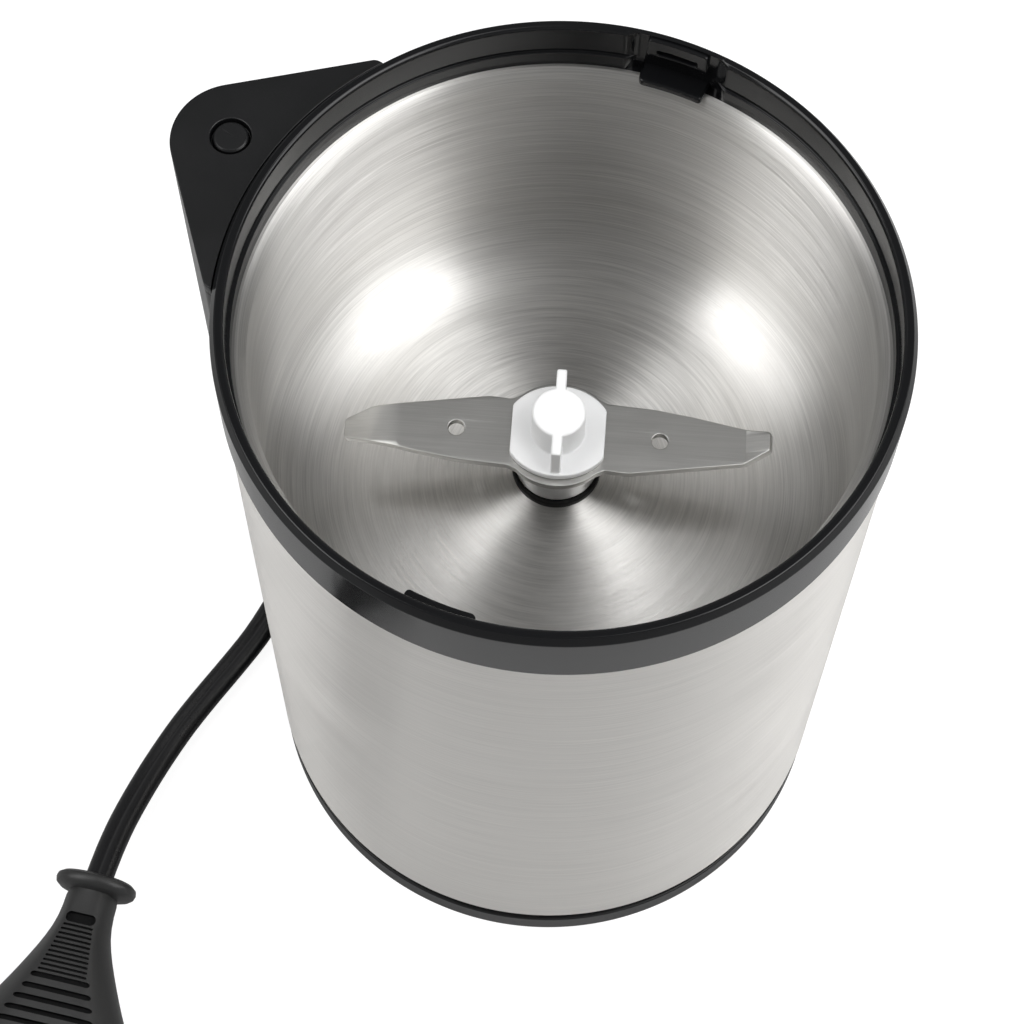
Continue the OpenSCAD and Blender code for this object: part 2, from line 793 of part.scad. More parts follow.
module mains_leads() {
    color([0.45, 0.28, 0.16])
        for (s = [-1, 1])
            sweep([[s * 1.2, tail_end - 0.05, exit_z], [s * 1.2, tail_end - 1.4, exit_z],
                [s * 1.8, tail_end - 2.3, exit_z + 1.4], [s * 3.6, tail_end - 2, exit_z + 6],
                [s * (lead_out - 1), lead_y, motor_z - 2],
                [s * lead_out, lead_y + 0.5, motor_z + 8],
                [s * lead_out, lead_y - 0.5, winding_low - 2],
                [s * lead_out, sqrt(field_r * field_r - lead_out * lead_out) + 1,
                    winding_low + 2.2]],
                lead_r * 2, lead_r * 2, 8);
}

module cord_tail() {
    color([0.08, 0.08, 0.08])
        translate([0, boot_in, exit_z])
            rotate([90, 0, 0])
                linear_extrude(boot_in - tail_end)
                    flat_cord();
}

// Section of the flat cord: two round cores side by side, joined by a web
module flat_cord() {
    for (s = [-1, 1])
        translate([s * (cord_w - cord_t) / 2, 0])
            circle(r = cord_t / 2);
    square([cord_w - cord_t, cord_t - 0.6], center = true);
}

module cord_clamp() {
    color([0.85, 0.85, 0.83])
        difference() {
            translate([-clamp_post_x - 3, clamp_y - 2.5, clamp_z])
                cube([2 * clamp_post_x + 6, 5, 2.4]);
            for (s = [-1, 1])
                translate([s * clamp_post_x, clamp_y, clamp_z - 1])
                    cylinder(r = clamp_screw_r + 0.15, h = 6);
        }
}

module clamp_screws() {
    color("gray")
        for (s = [-1, 1])
            translate([s * clamp_post_x, clamp_y, clamp_z + 2.4 + 1.4])
                rotate([180, 0, 0])
                    screw(2.1, 1.4, clamp_screw_r, 6);
}

module plate(w, h, t) {
    linear_extrude(t)
        square([w, h], center = true);
}

module cord_boot() {
    root = shell_r + 0.1 - boot_in;
    color([0.09, 0.09, 0.09])
        translate([0, boot_in, exit_z])
            rotate([-90, 0, 0]) {
                translate([-boot_w / 2, -boot_t / 2, 0])
                    cube([boot_w, boot_t, root + 0.1]);
                hull() {
                    translate([0, 0, root])
                        plate(boot_w + 1.2, boot_t + 0.6, 1.2);
                    translate([0, 0, boot_end - boot_in - 1])
                        plate(cord_w + 1, cord_t + 1, 1);
                }
            }
}

module cord_to_coil() {
    color([0.08, 0.08, 0.08])
        sweep(to_coil, cord_w, cord_t, 10);
}

module cord_coil() {
    inner = coil_in_r - cord_w / 2 - coil_gap;
    outer = coil_out_r + cord_w / 2 + coil_gap;
    round_r = 1.6;
    color([0.1, 0.1, 0.1])
        translate([coil_c[0], coil_c[1], coil_z])
            rotate_extrude()
                union() {
                    translate([inner, round_r])
                        square([outer - inner, coil_h - 2 * round_r]);
                    translate([inner + round_r, 0])
                        square([outer - inner - 2 * round_r, coil_h]);
                    for (x = [inner + round_r, outer - round_r], y = [round_r, coil_h - round_r])
                        translate([x, y])
                            circle(r = round_r);
                }
}

module coil_tie() {
    inner = coil_in_r - cord_w / 2 - coil_gap;
    outer = coil_out_r + cord_w / 2 + coil_gap;
    width = 6;
    // The ring's inner face curves away from the flat band
    inner_gap = inner - sqrt(inner * inner - width * width / 4) + 0.1;
    color([0.15, 0.15, 0.16])
        translate([coil_c[0], coil_c[1], 0])
            rotate(-60)
                difference() {
                    translate([inner - inner_gap - tie_t, -width / 2, 0])
                        cube([outer - inner + inner_gap + 0.1 + 2 * tie_t, width,
                            coil_z + coil_h + 0.1 + tie_t]);
                    translate([inner - inner_gap, -width, tie_t])
                        cube([outer - inner + inner_gap + 0.1, 2 * width,
                            coil_z + coil_h + 0.1 - tie_t]);
                }
}

module cord_run() {
    color([0.08, 0.08, 0.08])
        sweep(run, cord_w, cord_t, 10);
}

// Places its children with +X along the plug, from the guard's outer face
module on_plug() {
    translate(plug_at)
        rotate(plug_dir)
            children();
}

// A thin slice across the plug with rounded corners
module plug_slice(x, w, t) {
    r = min(3, t / 3);
    for (sy = [-1, 1], sz = [-1, 1])
        translate([x, sy * (w / 2 - r), sz * (t / 2 - r)])
            rotate([0, 90, 0])
                cylinder(r = r, h = 0.5, $fn = 24);
}

module plug_body() {
    color([0.09, 0.09, 0.09])
        on_plug() {
            hull() {
                plug_slice(0, 2 * guard_r - 2, 9);
                plug_slice(guard_t - 0.5, 2 * guard_r, 11);
            }
            hull() {
                plug_slice(guard_t - 0.6, neck_w, 8);
                plug_slice(12, neck_w + 3, 9.6);
            }
            hull() {
                plug_slice(12, neck_w + 3, 9.6);
                plug_slice(24, 23, 12.4);
            }
            hull() {
                plug_slice(24, 23, 12.4);
                plug_slice(plug_l - 6, face_w, face_t);
            }
            hull() {
                plug_slice(plug_l - 6, face_w, face_t);
                plug_slice(plug_l - 0.5, face_w - 3, face_t - 0.6);
            }
        }
}

module plug_pins() {
    color("silver")
        on_plug()
            for (s = [-1, 1])
                translate([plug_l + sleeve_l, s * pin_gap / 2, 0])
                    rotate([0, 90, 0]) {
                        cylinder(r = pin_r, h = pin_l - sleeve_l - 0.6);
                        translate([0, 0, pin_l - sleeve_l - 0.6 - eps])
                            cylinder(r1 = pin_r, r2 = pin_r - 0.6, h = 0.6 + eps);
                    }
}

module pin_sleeves() {
    color([0.1, 0.1, 0.1])
        on_plug()
            for (s = [-1, 1])
                translate([plug_l, s * pin_gap / 2, 0])
                    rotate([0, 90, 0])
                        cylinder(r = sleeve_r, h = sleeve_l);
}

// ---------------------------------------------------------------- motor, fixed pieces

module upper_bridge() {
    color([0.7, 0.7, 0.72])
        difference() {
            union() {
                translate([-stack_x / 2, -stack_y / 2, upper_z])
                    cube([stack_x, stack_y, bridge_t]);
                at_posts()
                    translate([0, 0, stack_top])
                        cylinder(r = post_r, h = upper_z - stack_top + eps);
                translate([0, 0, upper_z])
                    cylinder(r = upper_boss_r, h = upper_boss_z - upper_z);
            }
            translate([0, 0, upper_boss_z - upper_bearing_h])
                cylinder(r = upper_bearing_r + snug, h = 20);
            translate([0, 0, upper_z - 1])
                cylinder(r = shaft_r + 1.2, h = 20);
            at_posts()
                translate([0, 0, upper_top - 5.5])
                    cylinder(r = 1.75 + snug, h = 10);
            at_stator_screws()
                translate([0, 0, stack_top - 1])
                    cylinder(r = screw_r + snug, h = 4.4);
            for (s = [-1, 1])
                translate([-12, s * 16.5 - 4, upper_z - 1])
                    cube([24, 8, bridge_t + 2]);
        }
}

module upper_bearing() {
    color([0.72, 0.53, 0.3])
        translate([0, 0, upper_boss_z - upper_bearing_h])
            tube(upper_bearing_r, shaft_r + run_fit, upper_bearing_h);
}

module motor_mounts() {
    color([0.2, 0.2, 0.2])
        at_posts()
            translate([0, 0, upper_top])
                tube(4.4, 2, mount_h);
}

module mount_screws() {
    color("gray")
        at_posts()
            translate([0, 0, deck_top + screw_head_h])
                rotate([180, 0, 0])
                    screw(mount_head_r, screw_head_h, 1.75, deck_top - upper_top + 5);
}

module stator_core() {
    window_x = armature_r + 5.5;
    color([0.45, 0.46, 0.48])
        translate([0, 0, stack_z])
            difference() {
                translate([-stack_x / 2, -stack_y / 2, 0])
                    cube([stack_x, stack_y, stack_h]);
                translate([0, 0, -1])
                    cylinder(r = armature_r + air_gap, h = stack_h + 2);
                translate([-window_x, -12.5, -1])
                    cube([2 * window_x, 25, stack_h + 2]);
                at_stator_screws()
                    translate([0, 0, -1])
                        cylinder(r = screw_r + 0.1, h = stack_h + 2);
            }
}

module field_coils() {
    leg_x = armature_r + 1.5;
    color([0.72, 0.4, 0.2])
        for (s = [-1, 1])
            scale([1, s, 1]) {
                for (z = [winding_low, stack_top + 0.2])
                    translate([0, 0, z])
                        difference() {
                            tube(field_r, leg_x, 4.8);
                            translate([-30, -30, -1])
                                cube([60, 31.2, 8]);
                        }
                for (m = [0, 1])
                    mirror([m, 0, 0])
                        translate([leg_x, 1.2, winding_low])
                            cube([field_x - leg_x, 11, stack_top + 5 - winding_low]);
            }
}

module lower_bridge() {
    color([0.7, 0.7, 0.72])
        difference() {
            union() {
                translate([-stack_x / 2, -stack_y / 2, motor_z])
                    cube([stack_x, stack_y, bridge_t]);
                at_posts()
                    translate([0, 0, motor_z])
                        cylinder(r = post_r, h = stack_z - motor_z);
                translate([0, 0, lower_boss_z])
                    cylinder(r = lower_boss_r, h = motor_z - lower_boss_z + 1);
                for (s = [-1, 1])
                    translate([s * 18.5 - 5.5, -5, motor_z + bridge_t - eps])
                        cube([11, 10, holder_z - motor_z - bridge_t + eps]);
            }
            translate([0, 0, lower_boss_z + 0.8])
                cylinder(r = lower_bearing_r + snug, h = 20);
            at_stator_screws()
                translate([0, 0, motor_z - 1])
                    cylinder(r = screw_r + 0.1, h = 30);
            for (s = [-1, 1])
                translate([-15, s * 15 - 5, motor_z - 1])
                    cube([30, 10, bridge_t + 2]);
        }
}

module lower_bearing() {
    color([0.72, 0.53, 0.3])
        translate([0, 0, lower_boss_z + 0.8])
            tube(lower_bearing_r, journal_r + run_fit, lower_bearing_h);
}

module stator_screws() {
    color("gray")
        at_stator_screws()
            translate([0, 0, motor_z - screw_head_h])
                screw(screw_head_r, screw_head_h, screw_r, stack_top + 3 - motor_z);
}

module brush_holders() {
    color("goldenrod")
        for (s = [-1, 1])
            scale([s, 1, 1])
                difference() {
                    translate([holder_x, -4, holder_z])
                        cube([holder_l, 8, 7]);
                    translate([holder_x - 1, -3.05, holder_z + 0.95])
                        cube([holder_l, 6.1, 5.1]);
                }
}

module carbon_brushes() {
    color([0.15, 0.15, 0.15])
        for (s = [-1, 1])
            scale([s, 1, 1])
                difference() {
                    translate([comm_r - 0.5, -3, holder_z + 1])
                        cube([9.5, 6, 5]);
                    translate([0, 0, holder_z])
                        cylinder(r = comm_r + 0.08, h = 8);
                }
}

module brush_springs() {
    spring_x = comm_r + 9.05;
    color("silver")
        for (s = [-1, 1])
            scale([s, 1, 1])
                translate([spring_x, 0, holder_z + 3.5])
                    rotate([0, 90, 0])
                        coil_spring(1.9, 0.25, holder_x + holder_l - 1.1 - spring_x, 4);
}

// ---------------------------------------------------------------- turning pieces

module shaft_seal() {
    color([0.05, 0.05, 0.05])
        difference() {
            union() {
                translate([0, 0, seal_z])
                    cylinder(r = seal_r, h = seal_top - seal_z);
                translate([0, 0, seal_under - 1])
                    cylinder(r = seal_hole_r - seat_gap, h = seal_z - seal_under + 1.5);
                translate([0, 0, seal_under - 1.8])
                    cylinder(r = seal_hole_r + 1.4, h = 1.8);
            }
            translate([0, 0, seal_z - 5])
                cylinder(r = shaft_r + run_fit, h = 10);
        }
}

module motor_shaft() {
    color("silver") {
        translate([0, 0, lower_boss_z + 1])
            cylinder(r = journal_r, h = motor_z + 6 - lower_boss_z);
        translate([0, 0, comm_z - 0.2])
            cylinder(r = shaft_r, h = hub_base_z - comm_z + 0.2);
        translate([0, 0, hub_base_z - eps])
            cylinder(r = journal_r, h = cap_top - 2 - hub_base_z);
    }
}

module armature_core() {
    color([0.5, 0.5, 0.52])
        translate([0, 0, stack_z])
            difference() {
                tube(armature_r, shaft_r + snug, stack_h);
                for (i = [0 : slots - 1])
                    rotate(i * 360 / slots)
                        translate([armature_r - 4, -0.8, -1])
                            cube([6, 1.6, stack_h + 2]);
            }
}

module armature_winding() {
    color([0.75, 0.42, 0.2])
        for (z = [winding_low + 0.4, stack_top])
            translate([0, 0, z])
                tube(armature_r - 1.6, shaft_r + 1, 4.6);
}

module commutator() {
    color([0.75, 0.45, 0.25])
        difference() {
            union() {
                translate([0, 0, comm_z])
                    tube(comm_r, shaft_r + snug, comm_h);
                translate([0, 0, comm_z + comm_h - 1.2])
                    tube(comm_r + 0.9, shaft_r + snug, 1.2);
            }
            for (i = [0 : slots - 1])
                rotate((i + 0.5) * 360 / slots)
                    translate([comm_r - 0.8, -0.2, comm_z - 1])
                        cube([4, 0.4, comm_h + 2]);
        }
}

module thrust_washers() {
    color("silver") {
        translate([0, 0, comm_z - 1.2])
            tube(5.4, journal_r + snug, 0.9);
        translate([0, 0, upper_boss_z - upper_bearing_h - 1.1])
            tube(5, shaft_r + snug, 0.9);
    }
}

module shaft_collar() {
    color("silver")
        translate([0, 0, collar_z])
            tube(collar_r, shaft_r + snug, hub_base_z - collar_z);
}

module hub_base() {
    color("white")
        difference() {
            translate([0, 0, hub_base_z])
                rotate(blade_dir + 90) {
                    cylinder(r = hub_base_r, h = hub_base_t);
                    translate([-hub_base_r - 0.9, -1.2, 0])
                        cube([2 * hub_base_r + 1.8, 2.4, hub_base_t]);
                }
            translate([0, 0, hub_base_z - 1])
                cylinder(r = journal_r + snug, h = 4);
        }
}

// Half of the blade's outline, from the hub to one tip
function blade_half() = let (e = blade_l / 2)
    [[0, 5.9], [7, 5.9], [14.4, 5.2], [20, 4.4], [e - tip_l + 0.2, 2.9], [e, 2.2], [e, -0.9],
        [e - tip_l, -2.8], [10.6, -5.7], [7.4, -5.3], [0, -5.9]];

module blade_flat() {
    linear_extrude(blade_t)
        difference() {
            union() {
                circle(r = blade_hub_r);
                for (turn = [0, 180])
                    rotate(turn)
                        polygon(blade_half());
            }
            circle(r = journal_r + snug);
            for (s = [-1, 1])
                translate([s * blade_hole_gap / 2, 0])
                    circle(r = blade_hole_r);
        }
}

module blade_tip(bend) {
    fold = blade_l / 2 - tip_l;
    translate([fold, 0, 0])
        rotate([0, -bend, 0])
            translate([-fold, 0, 0])
                intersection() {
                    blade_flat();
                    translate([fold - 0.25, -10, -1])
                        cube([20, 20, 4]);
                }
}

module blade() {
    fold = blade_l / 2 - tip_l;
    color([0.62, 0.62, 0.6])
        translate([0, 0, blade_under])
            rotate(blade_dir) {
                intersection() {
                    blade_flat();
                    translate([-fold, -10, -1])
                        cube([2 * fold, 20, 4]);
                }
                blade_tip(tip_bend);
                rotate(180)
                    blade_tip(-tip_bend);
            }
}

module hub_cap() {
    color("white")
        rotate(blade_dir)
            difference() {
                union() {
                    intersection() {
                        translate([0, 0, cap_z])
                            cylinder(r = cap_r, h = cap_t);
                        translate([-cap_flats / 2, -10, cap_z - 1])
                            cube([cap_flats, 20, cap_t + 2]);
                    }
                    translate([0, 0, cap_z])
                        cylinder(r = boss_r, h = cap_top - cap_z);
                    translate([-fin_t / 2, -cap_r + 0.25, cap_z])
                        cube([fin_t, 2 * cap_r - 0.5, cap_top - cap_z]);
                }
                translate([0, 0, cap_z - 1])
                    cylinder(r = journal_r + snug, h = cap_top - 1.8 - cap_z + 1);
            }
}

outer_shell();
top_ring();
grinding_bowl();
inner_housing();
base_cover();
foot_ring();
base_screws();
side_housing();
side_housing_cover();
side_housing_screws();
shaft_seal();
upper_bridge();
upper_bearing();
motor_mounts();
mount_screws();
stator_core();
field_coils();
lower_bridge();
lower_bearing();
stator_screws();
brush_holders();
carbon_brushes();
brush_springs();
switch_body();
switch_terminals();
plunger_spring();
switch_leads();
mains_leads();
cord_tail();
cord_clamp();
clamp_screws();
cord_boot();
cord_to_coil();
cord_coil();
coil_tie();
cord_run();
plug_body();
plug_pins();
pin_sleeves();
motor_shaft();
armature_core();
armature_winding();
commutator();
thrust_washers();
shaft_collar();
hub_base();
blade();
hub_cap();
push_plunger();
switch_lever();
switch_button();
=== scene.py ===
import json
from contextlib import contextmanager
from math import acos, copysign, cos, pi, radians, sin, sqrt, tan

import bmesh
import bpy
from bpy.props import FloatProperty, FloatVectorProperty, IntProperty, PointerProperty
from bpy.types import Operator, Panel, PropertyGroup
from mathutils import Matrix, Vector


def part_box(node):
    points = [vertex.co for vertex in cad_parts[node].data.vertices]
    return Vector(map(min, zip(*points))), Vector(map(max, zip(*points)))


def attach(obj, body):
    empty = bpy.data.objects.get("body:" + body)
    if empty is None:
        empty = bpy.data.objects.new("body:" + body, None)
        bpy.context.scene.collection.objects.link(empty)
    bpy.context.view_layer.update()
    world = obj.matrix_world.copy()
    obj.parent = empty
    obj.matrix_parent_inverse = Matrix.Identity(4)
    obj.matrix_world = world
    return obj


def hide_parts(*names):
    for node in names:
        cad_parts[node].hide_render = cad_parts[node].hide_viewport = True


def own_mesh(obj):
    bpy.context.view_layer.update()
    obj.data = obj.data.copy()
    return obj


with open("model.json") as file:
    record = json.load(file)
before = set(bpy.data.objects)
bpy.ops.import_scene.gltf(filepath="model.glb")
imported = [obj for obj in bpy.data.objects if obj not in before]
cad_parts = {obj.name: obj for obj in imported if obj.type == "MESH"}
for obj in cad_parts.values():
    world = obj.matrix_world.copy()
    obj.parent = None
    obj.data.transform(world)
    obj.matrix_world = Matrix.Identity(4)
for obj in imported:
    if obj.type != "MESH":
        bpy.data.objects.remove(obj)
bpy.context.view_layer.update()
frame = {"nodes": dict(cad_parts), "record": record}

bl_info = {
    "name": "Electric spice grinder",
    "version": (1, 0, 0),
    "blender": (4, 5, 0),
    "location": "View3D > Sidebar > Grinder",
    "description": "Makes the finished pieces of an open electric spice grinder over its fixed frame",
    "category": "Object",
}

# Places and sizes that several pieces share, in millimetres, and directions in radians
MM = 0.001
LOCK_DIR = radians(100.6)
BLADE_DIR = radians(27.5)
SHAFT_BORE = 2.52
TOWER_PLUNGER_X = -54.6
SPRING_FOOT = 113.95
SPRING_LENGTH = 10.5
PLUG_PLACE = Matrix.Translation((-45.2, -75.4, 6.9)) @ Matrix.Rotation(radians(-71.5), 4, "Z")
COIL_CENTRE = (-30.0, 92.0)

# Each lamp's lean to the right and to the near side, turn, width, depth and share of the light
LAMP_DISTANCE = 1.15
LAMPS = {
    "overhead_right": (0.33, 0.0, 37, 0.42, 0.76, 0.77),
    "overhead_left": (-0.37, -0.085, -48, 0.30, 0.72, 0.84),
    "side_right": (0.71, 0.18, 40, 1.00, 0.84, 1.08),
    "side_left": (-0.72, 0.10, -56, 0.62, 0.80, 0.97),
    "back_left": (-0.47, -0.42, -90, 0.24, 0.36, 0.16),
}
CAMERA_PLACE = (0.08343, -0.15114, 0.45382)
CAMERA_AXES = ((0.8500, 0.5267, 0.0053), (-0.4817, 0.7733, 0.4122), (0.2130, -0.3529, 0.9111))


# ---- sizes and colours

def length(name, description, default):
    return FloatProperty(name=name, description=description, default=default, unit="LENGTH",
        subtype="DISTANCE", precision=4)


def tilt(name, description, degrees):
    return FloatProperty(name=name, description=description, default=radians(degrees), unit="ROTATION",
        subtype="ANGLE")


def colour(name, description, default):
    return FloatVectorProperty(name=name, description=description, default=default, size=3,
        subtype="COLOR", min=0.0, max=1.0)


class BodySettings(PropertyGroup):
    """Sizes of the shell, the lid ring and the bowl"""
    shell_radius: length("Shell radius", "Outer radius of the steel shell",
        round(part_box("outer_shell")[1][0], 5))
    shell_wall: length("Shell wall", "Wall of the steel shell", 0.0008)
    ring_radius: length("Ring radius", "Outer radius of the lid ring", round(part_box("top_ring")[1][0], 5))
    ring_top: length("Ring top", "Height of the ring's top", round(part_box("top_ring")[1][2], 5))
    ring_band: length("Ring band", "Height of the ring's outer band", 0.0114)
    bowl_radius: length("Bowl radius", "Inner radius of the bowl", 0.0438)
    bowl_wall: length("Bowl wall", "Wall of the bowl", 0.0007)
    bowl_corner: length("Bowl corner", "Radius of the bowl's lower corner", 0.011)
    bowl_floor: length("Bowl floor", "Height of the bowl's lowest ring", 0.085)
    floor_slope: tilt("Floor slope", "Rise of the bowl's floor to the shaft", 9)


class BladeSettings(PropertyGroup):
    """Sizes of the blade and the hub"""
    blade_length: length("Blade length", "Length of the blade from tip to tip", 0.0636)
    blade_thickness: length("Blade thickness", "Thickness of the blade", 0.0012)
    blade_top: length("Blade top", "Height of the blade's upper face", 0.1006)
    hole_gap: length("Hole distance", "Distance between the blade's two holes", 0.0302)
    hole_radius: length("Hole radius", "Radius of the blade's two holes", 0.0012)
    cap_radius: length("Cap radius", "Radius of the hub cap", 0.00725)
    boss_radius: length("Boss radius", "Radius of the hub cap's boss", 0.00395)
    boss_height: length("Boss height", "Height of the hub cap's boss over its disc", 0.0063)


class CordSettings(PropertyGroup):
    """Sizes of the mains cord and its plug"""
    cord_width: length("Cord width", "Width of the flat twin cord", 0.005)
    cord_thickness: length("Cord thickness", "Thickness of the flat twin cord", 0.0032)
    cord_length: length("Cord length", "Length of the cord outside the body", 0.826)
    cord_lean: tilt("Cord lean", "How far the cord lies on its side", 12)
    fine_grooves: IntProperty(name="Fine grooves", description="Fine grooves on the plug's neck",
        default=11, min=1, max=14)
    wide_grooves: IntProperty(name="Wide grooves", description="Wide grooves on the plug's grip",
        default=6, min=1, max=8)


class FinishSettings(PropertyGroup):
    """Colours of the finishes"""
    shell_steel: colour("Shell steel", "Brushed steel of the shell", (0.74, 0.725, 0.70))
    bowl_steel: colour("Bowl steel", "Brushed steel of the bowl", (0.67, 0.66, 0.64))
    blade_steel: colour("Blade steel", "Ground steel of the blade", (0.46, 0.455, 0.44))
    gloss_black: colour("Gloss black", "Black of the lid ring", (0.005, 0.0052, 0.0058))
    satin_black: colour("Satin black", "Black of the switch housing", (0.0045, 0.0047, 0.0052))
    hub_white: colour("Hub white", "White of the hub", (0.93, 0.935, 0.94))
    cord_black: colour("Cord black", "Black of the cord", (0.008, 0.008, 0.0088))


class StageSettings(PropertyGroup):
    """Floor, lights and view"""
    floor_colour: colour("Floor", "Colour of the floor", (0.55, 0.55, 0.55))
    floor_size: length("Floor size", "Side of the floor", 8.0)
    lens: FloatProperty(name="Lens", description="Focal length of the camera", default=93.37,
        unit="CAMERA")
    key_light: FloatProperty(name="Key light",
        description="Brightness that each softbox takes a share of", default=3.6, min=0.0)


# ---- meshes

def clamped(t):
    return min(1.0, max(0.0, t))


def eased(t):
    """A smooth step from 0 to 1"""
    t = clamped(t)
    return t * t * (3 - 2 * t)


def link(name, data):
    piece = bpy.data.objects.new(name, data)
    bpy.context.scene.collection.objects.link(piece)
    return piece


def discard(piece):
    data = piece.data
    bpy.data.objects.remove(piece)
    bpy.data.meshes.remove(data)


def modify(piece, kind, **settings):
    modifier = piece.modifiers.new(kind.lower(), kind)
    for name, value in settings.items():
        setattr(modifier, name, value)
    return modifier


def finished_mesh(piece):
    """A new mesh of what a piece's modifiers make"""
    graph = bpy.context.evaluated_depsgraph_get()
    return bpy.data.meshes.new_from_object(piece.evaluated_get(graph), depsgraph=graph)


def settle(piece):
    """Applies a piece's modifiers to its mesh"""
    made, old = finished_mesh(piece), piece.data
    piece.modifiers.clear()
    piece.data = made
    bpy.data.meshes.remove(old)
    made.name = piece.name
    return piece


@contextmanager
def editing(mesh):
    """Opens a mesh for changes, and writes them back"""
    form = bmesh.new()
    form.from_mesh(mesh)
    yield form
    form.to_mesh(mesh)
    form.free()


def shade(piece, sharp):
    """Shades smoothly up to an angle in degrees, by the weight of the faces"""
    piece.data.shade_smooth()
    piece.data.set_sharp_from_angle(angle=radians(sharp))
    modify(piece, "WEIGHTED_NORMAL", weight=80, keep_sharp=True)
    return settle(piece)


def tidy(piece, sharp=38.0, join=0.002):
    """Merges doubles, turns the faces outwards, and shades the piece"""
    with editing(piece.data) as form:
        bmesh.ops.remove_doubles(form, verts=form.verts, dist=join * MM)
        bmesh.ops.recalc_face_normals(form, faces=form.faces)
    if "custom_normal" in piece.data.attributes:
        piece.data.attributes.remove(piece.data.attributes["custom_normal"])
    return shade(piece, sharp)


def solid(name, points, faces, sharp=38.0):
    """A closed piece from points in millimetres"""
    mesh = bpy.data.meshes.new(name)
    mesh.from_pydata([Vector(p) * MM for p in points], [], faces)
    return tidy(link(name, mesh), sharp)


def place(piece, matrix):
    """Moves a piece's mesh by a matrix in millimetres"""
    piece.data.transform(Matrix.Scale(MM, 4) @ matrix @ Matrix.Scale(1 / MM, 4))
    return piece


def joined(name, parts):
    """One piece from several closed parts"""
    mesh = bpy.data.meshes.new(name)
    with editing(mesh) as form:
        for part in parts:
            form.from_mesh(part.data)
    for part in parts:
        discard(part)
    return tidy(link(name, mesh), join=0.0005)


def cut(piece, cutters, operation="DIFFERENCE"):
    for cutter in cutters:
        modify(piece, "BOOLEAN", operation=operation, object=cutter, solver="EXACT")
        settle(piece)
        discard(cutter)
    return piece


def moulded(name, parts, voxel, passes):
    """Melts overlapping parts into one skin with small rounded edges, as moulding leaves them"""
    piece = joined(name, parts)
    modify(piece, "REMESH", mode="VOXEL", voxel_size=voxel * MM, adaptivity=0.0)
    modify(piece, "SMOOTH", factor=0.5, iterations=passes)
    settle(piece)
    piece.data.shade_smooth()
    return piece


def soften(outline, radius, bits=4):
    """Rounds the corners of a closed outline. A third number on a point is its own radius"""
    made = []
    count = len(outline)
    for i, corner in enumerate(outline):
        here = Vector(corner[:2])
        before = Vector(outline[i - 1][:2]) - here
        after = Vector(outline[(i + 1) % count][:2]) - here
        wanted = corner[2] if len(corner) > 2 else radius
        turn = before.angle(after) if before.length and after.length else pi
        if abs(here.x) < 1e-6 or wanted <= 0 or turn > radians(172):
            made.append(tuple(here))
            continue
        reach = min(wanted / tan(turn / 2), 0.45 * before.length, 0.45 * after.length)
        bow = reach * tan(turn / 2)
        centre = here + (before.normalized() + after.normalized()).normalized() * (bow / sin(turn / 2))
        start = here + before.normalized() * reach - centre
        end = here + after.normalized() * reach - centre
        sweep_angle = start.angle_signed(end)
        for k in range(bits + 1):
            t = -sweep_angle * k / bits
            made.append(tuple(centre + Matrix.Rotation(t, 2) @ start))
    return made


def hoop(name, rings, sharp=38.0):
    """A closed skin over rings of points, whose last ring meets the first"""
    count, sides, faces = len(rings), len(rings[0]), []
    for i in range(count):
        k = (i + 1) % count
        for j in range(sides):
            m = (j + 1) % sides
            faces.append((i * sides + j, k * sides + j, k * sides + m, i * sides + m))
    return solid(name, [p for ring in rings for p in ring], faces, sharp)


def lathe(name, outline, steps=240, angles=None, shift=None):
    """Turns a closed outline of (radius, height) round the shaft axis"""
    rings = []
    for angle in angles or [2 * pi * i / steps for i in range(steps)]:
        moved = [shift(angle, r, z) for r, z in outline] if shift else outline
        rings.append([(r * cos(angle), r * sin(angle), z) for r, z in moved])
    return hoop(name, rings)


def plate(name, outlines, low, high, rim=0.15, bits=2, sharp=38.0):
    """A flat piece with rounded rims. The first outline is its edge, the others are its holes"""
    drawing = bpy.data.curves.new(name, "CURVE")
    drawing.dimensions = "2D"
    drawing.fill_mode = "BOTH"
    drawing.extrude = (high - low) / 2 - rim
    drawing.bevel_depth = rim
    drawing.bevel_resolution = bits
    drawing.offset = -rim
    for outline in outlines:
        spline = drawing.splines.new("POLY")
        spline.points.add(len(outline) - 1)
        for point, corner in zip(spline.points, outline):
            point.co = (corner[0], corner[1], 0, 1)
        spline.use_cyclic_u = True
    piece = link(name, drawing)
    mesh = finished_mesh(piece)
    bpy.data.objects.remove(piece)
    bpy.data.curves.remove(drawing)
    mesh.transform(Matrix.Scale(MM, 4) @ Matrix.Translation((0, 0, (low + high) / 2)))
    return tidy(link(name, mesh), sharp)


def skin(name, rings, sharp):
    """A closed skin over rings of points, with both ends capped"""
    sides, last = len(rings[0]), len(rings) - 1
    faces = [tuple(range(sides)), tuple(last * sides + j for j in range(sides))]
    for i in range(last):
        for j in range(sides):
            k = (j + 1) % sides
            faces.append((i * sides + j, i * sides + k, (i + 1) * sides + k, (i + 1) * sides + j))
    return solid(name, [p for ring in rings for p in ring], faces, sharp)


def oval(half_width, half_height, power, sides, flank=0.0):
    """Points of a rounded section, as (across, up). A flank of 1 slopes its upper and lower edges"""
    made = []
    for j in range(sides):
        a = 2 * pi * (j + 0.5) / sides
        c, s = abs(cos(a)), abs(sin(a))
        reach = (c ** power + s ** power + (flank * (0.84 * c + 0.53 * s)) ** power) ** (-1 / power)
        made.append((half_width * cos(a) * reach, half_height * sin(a) * reach))
    return made


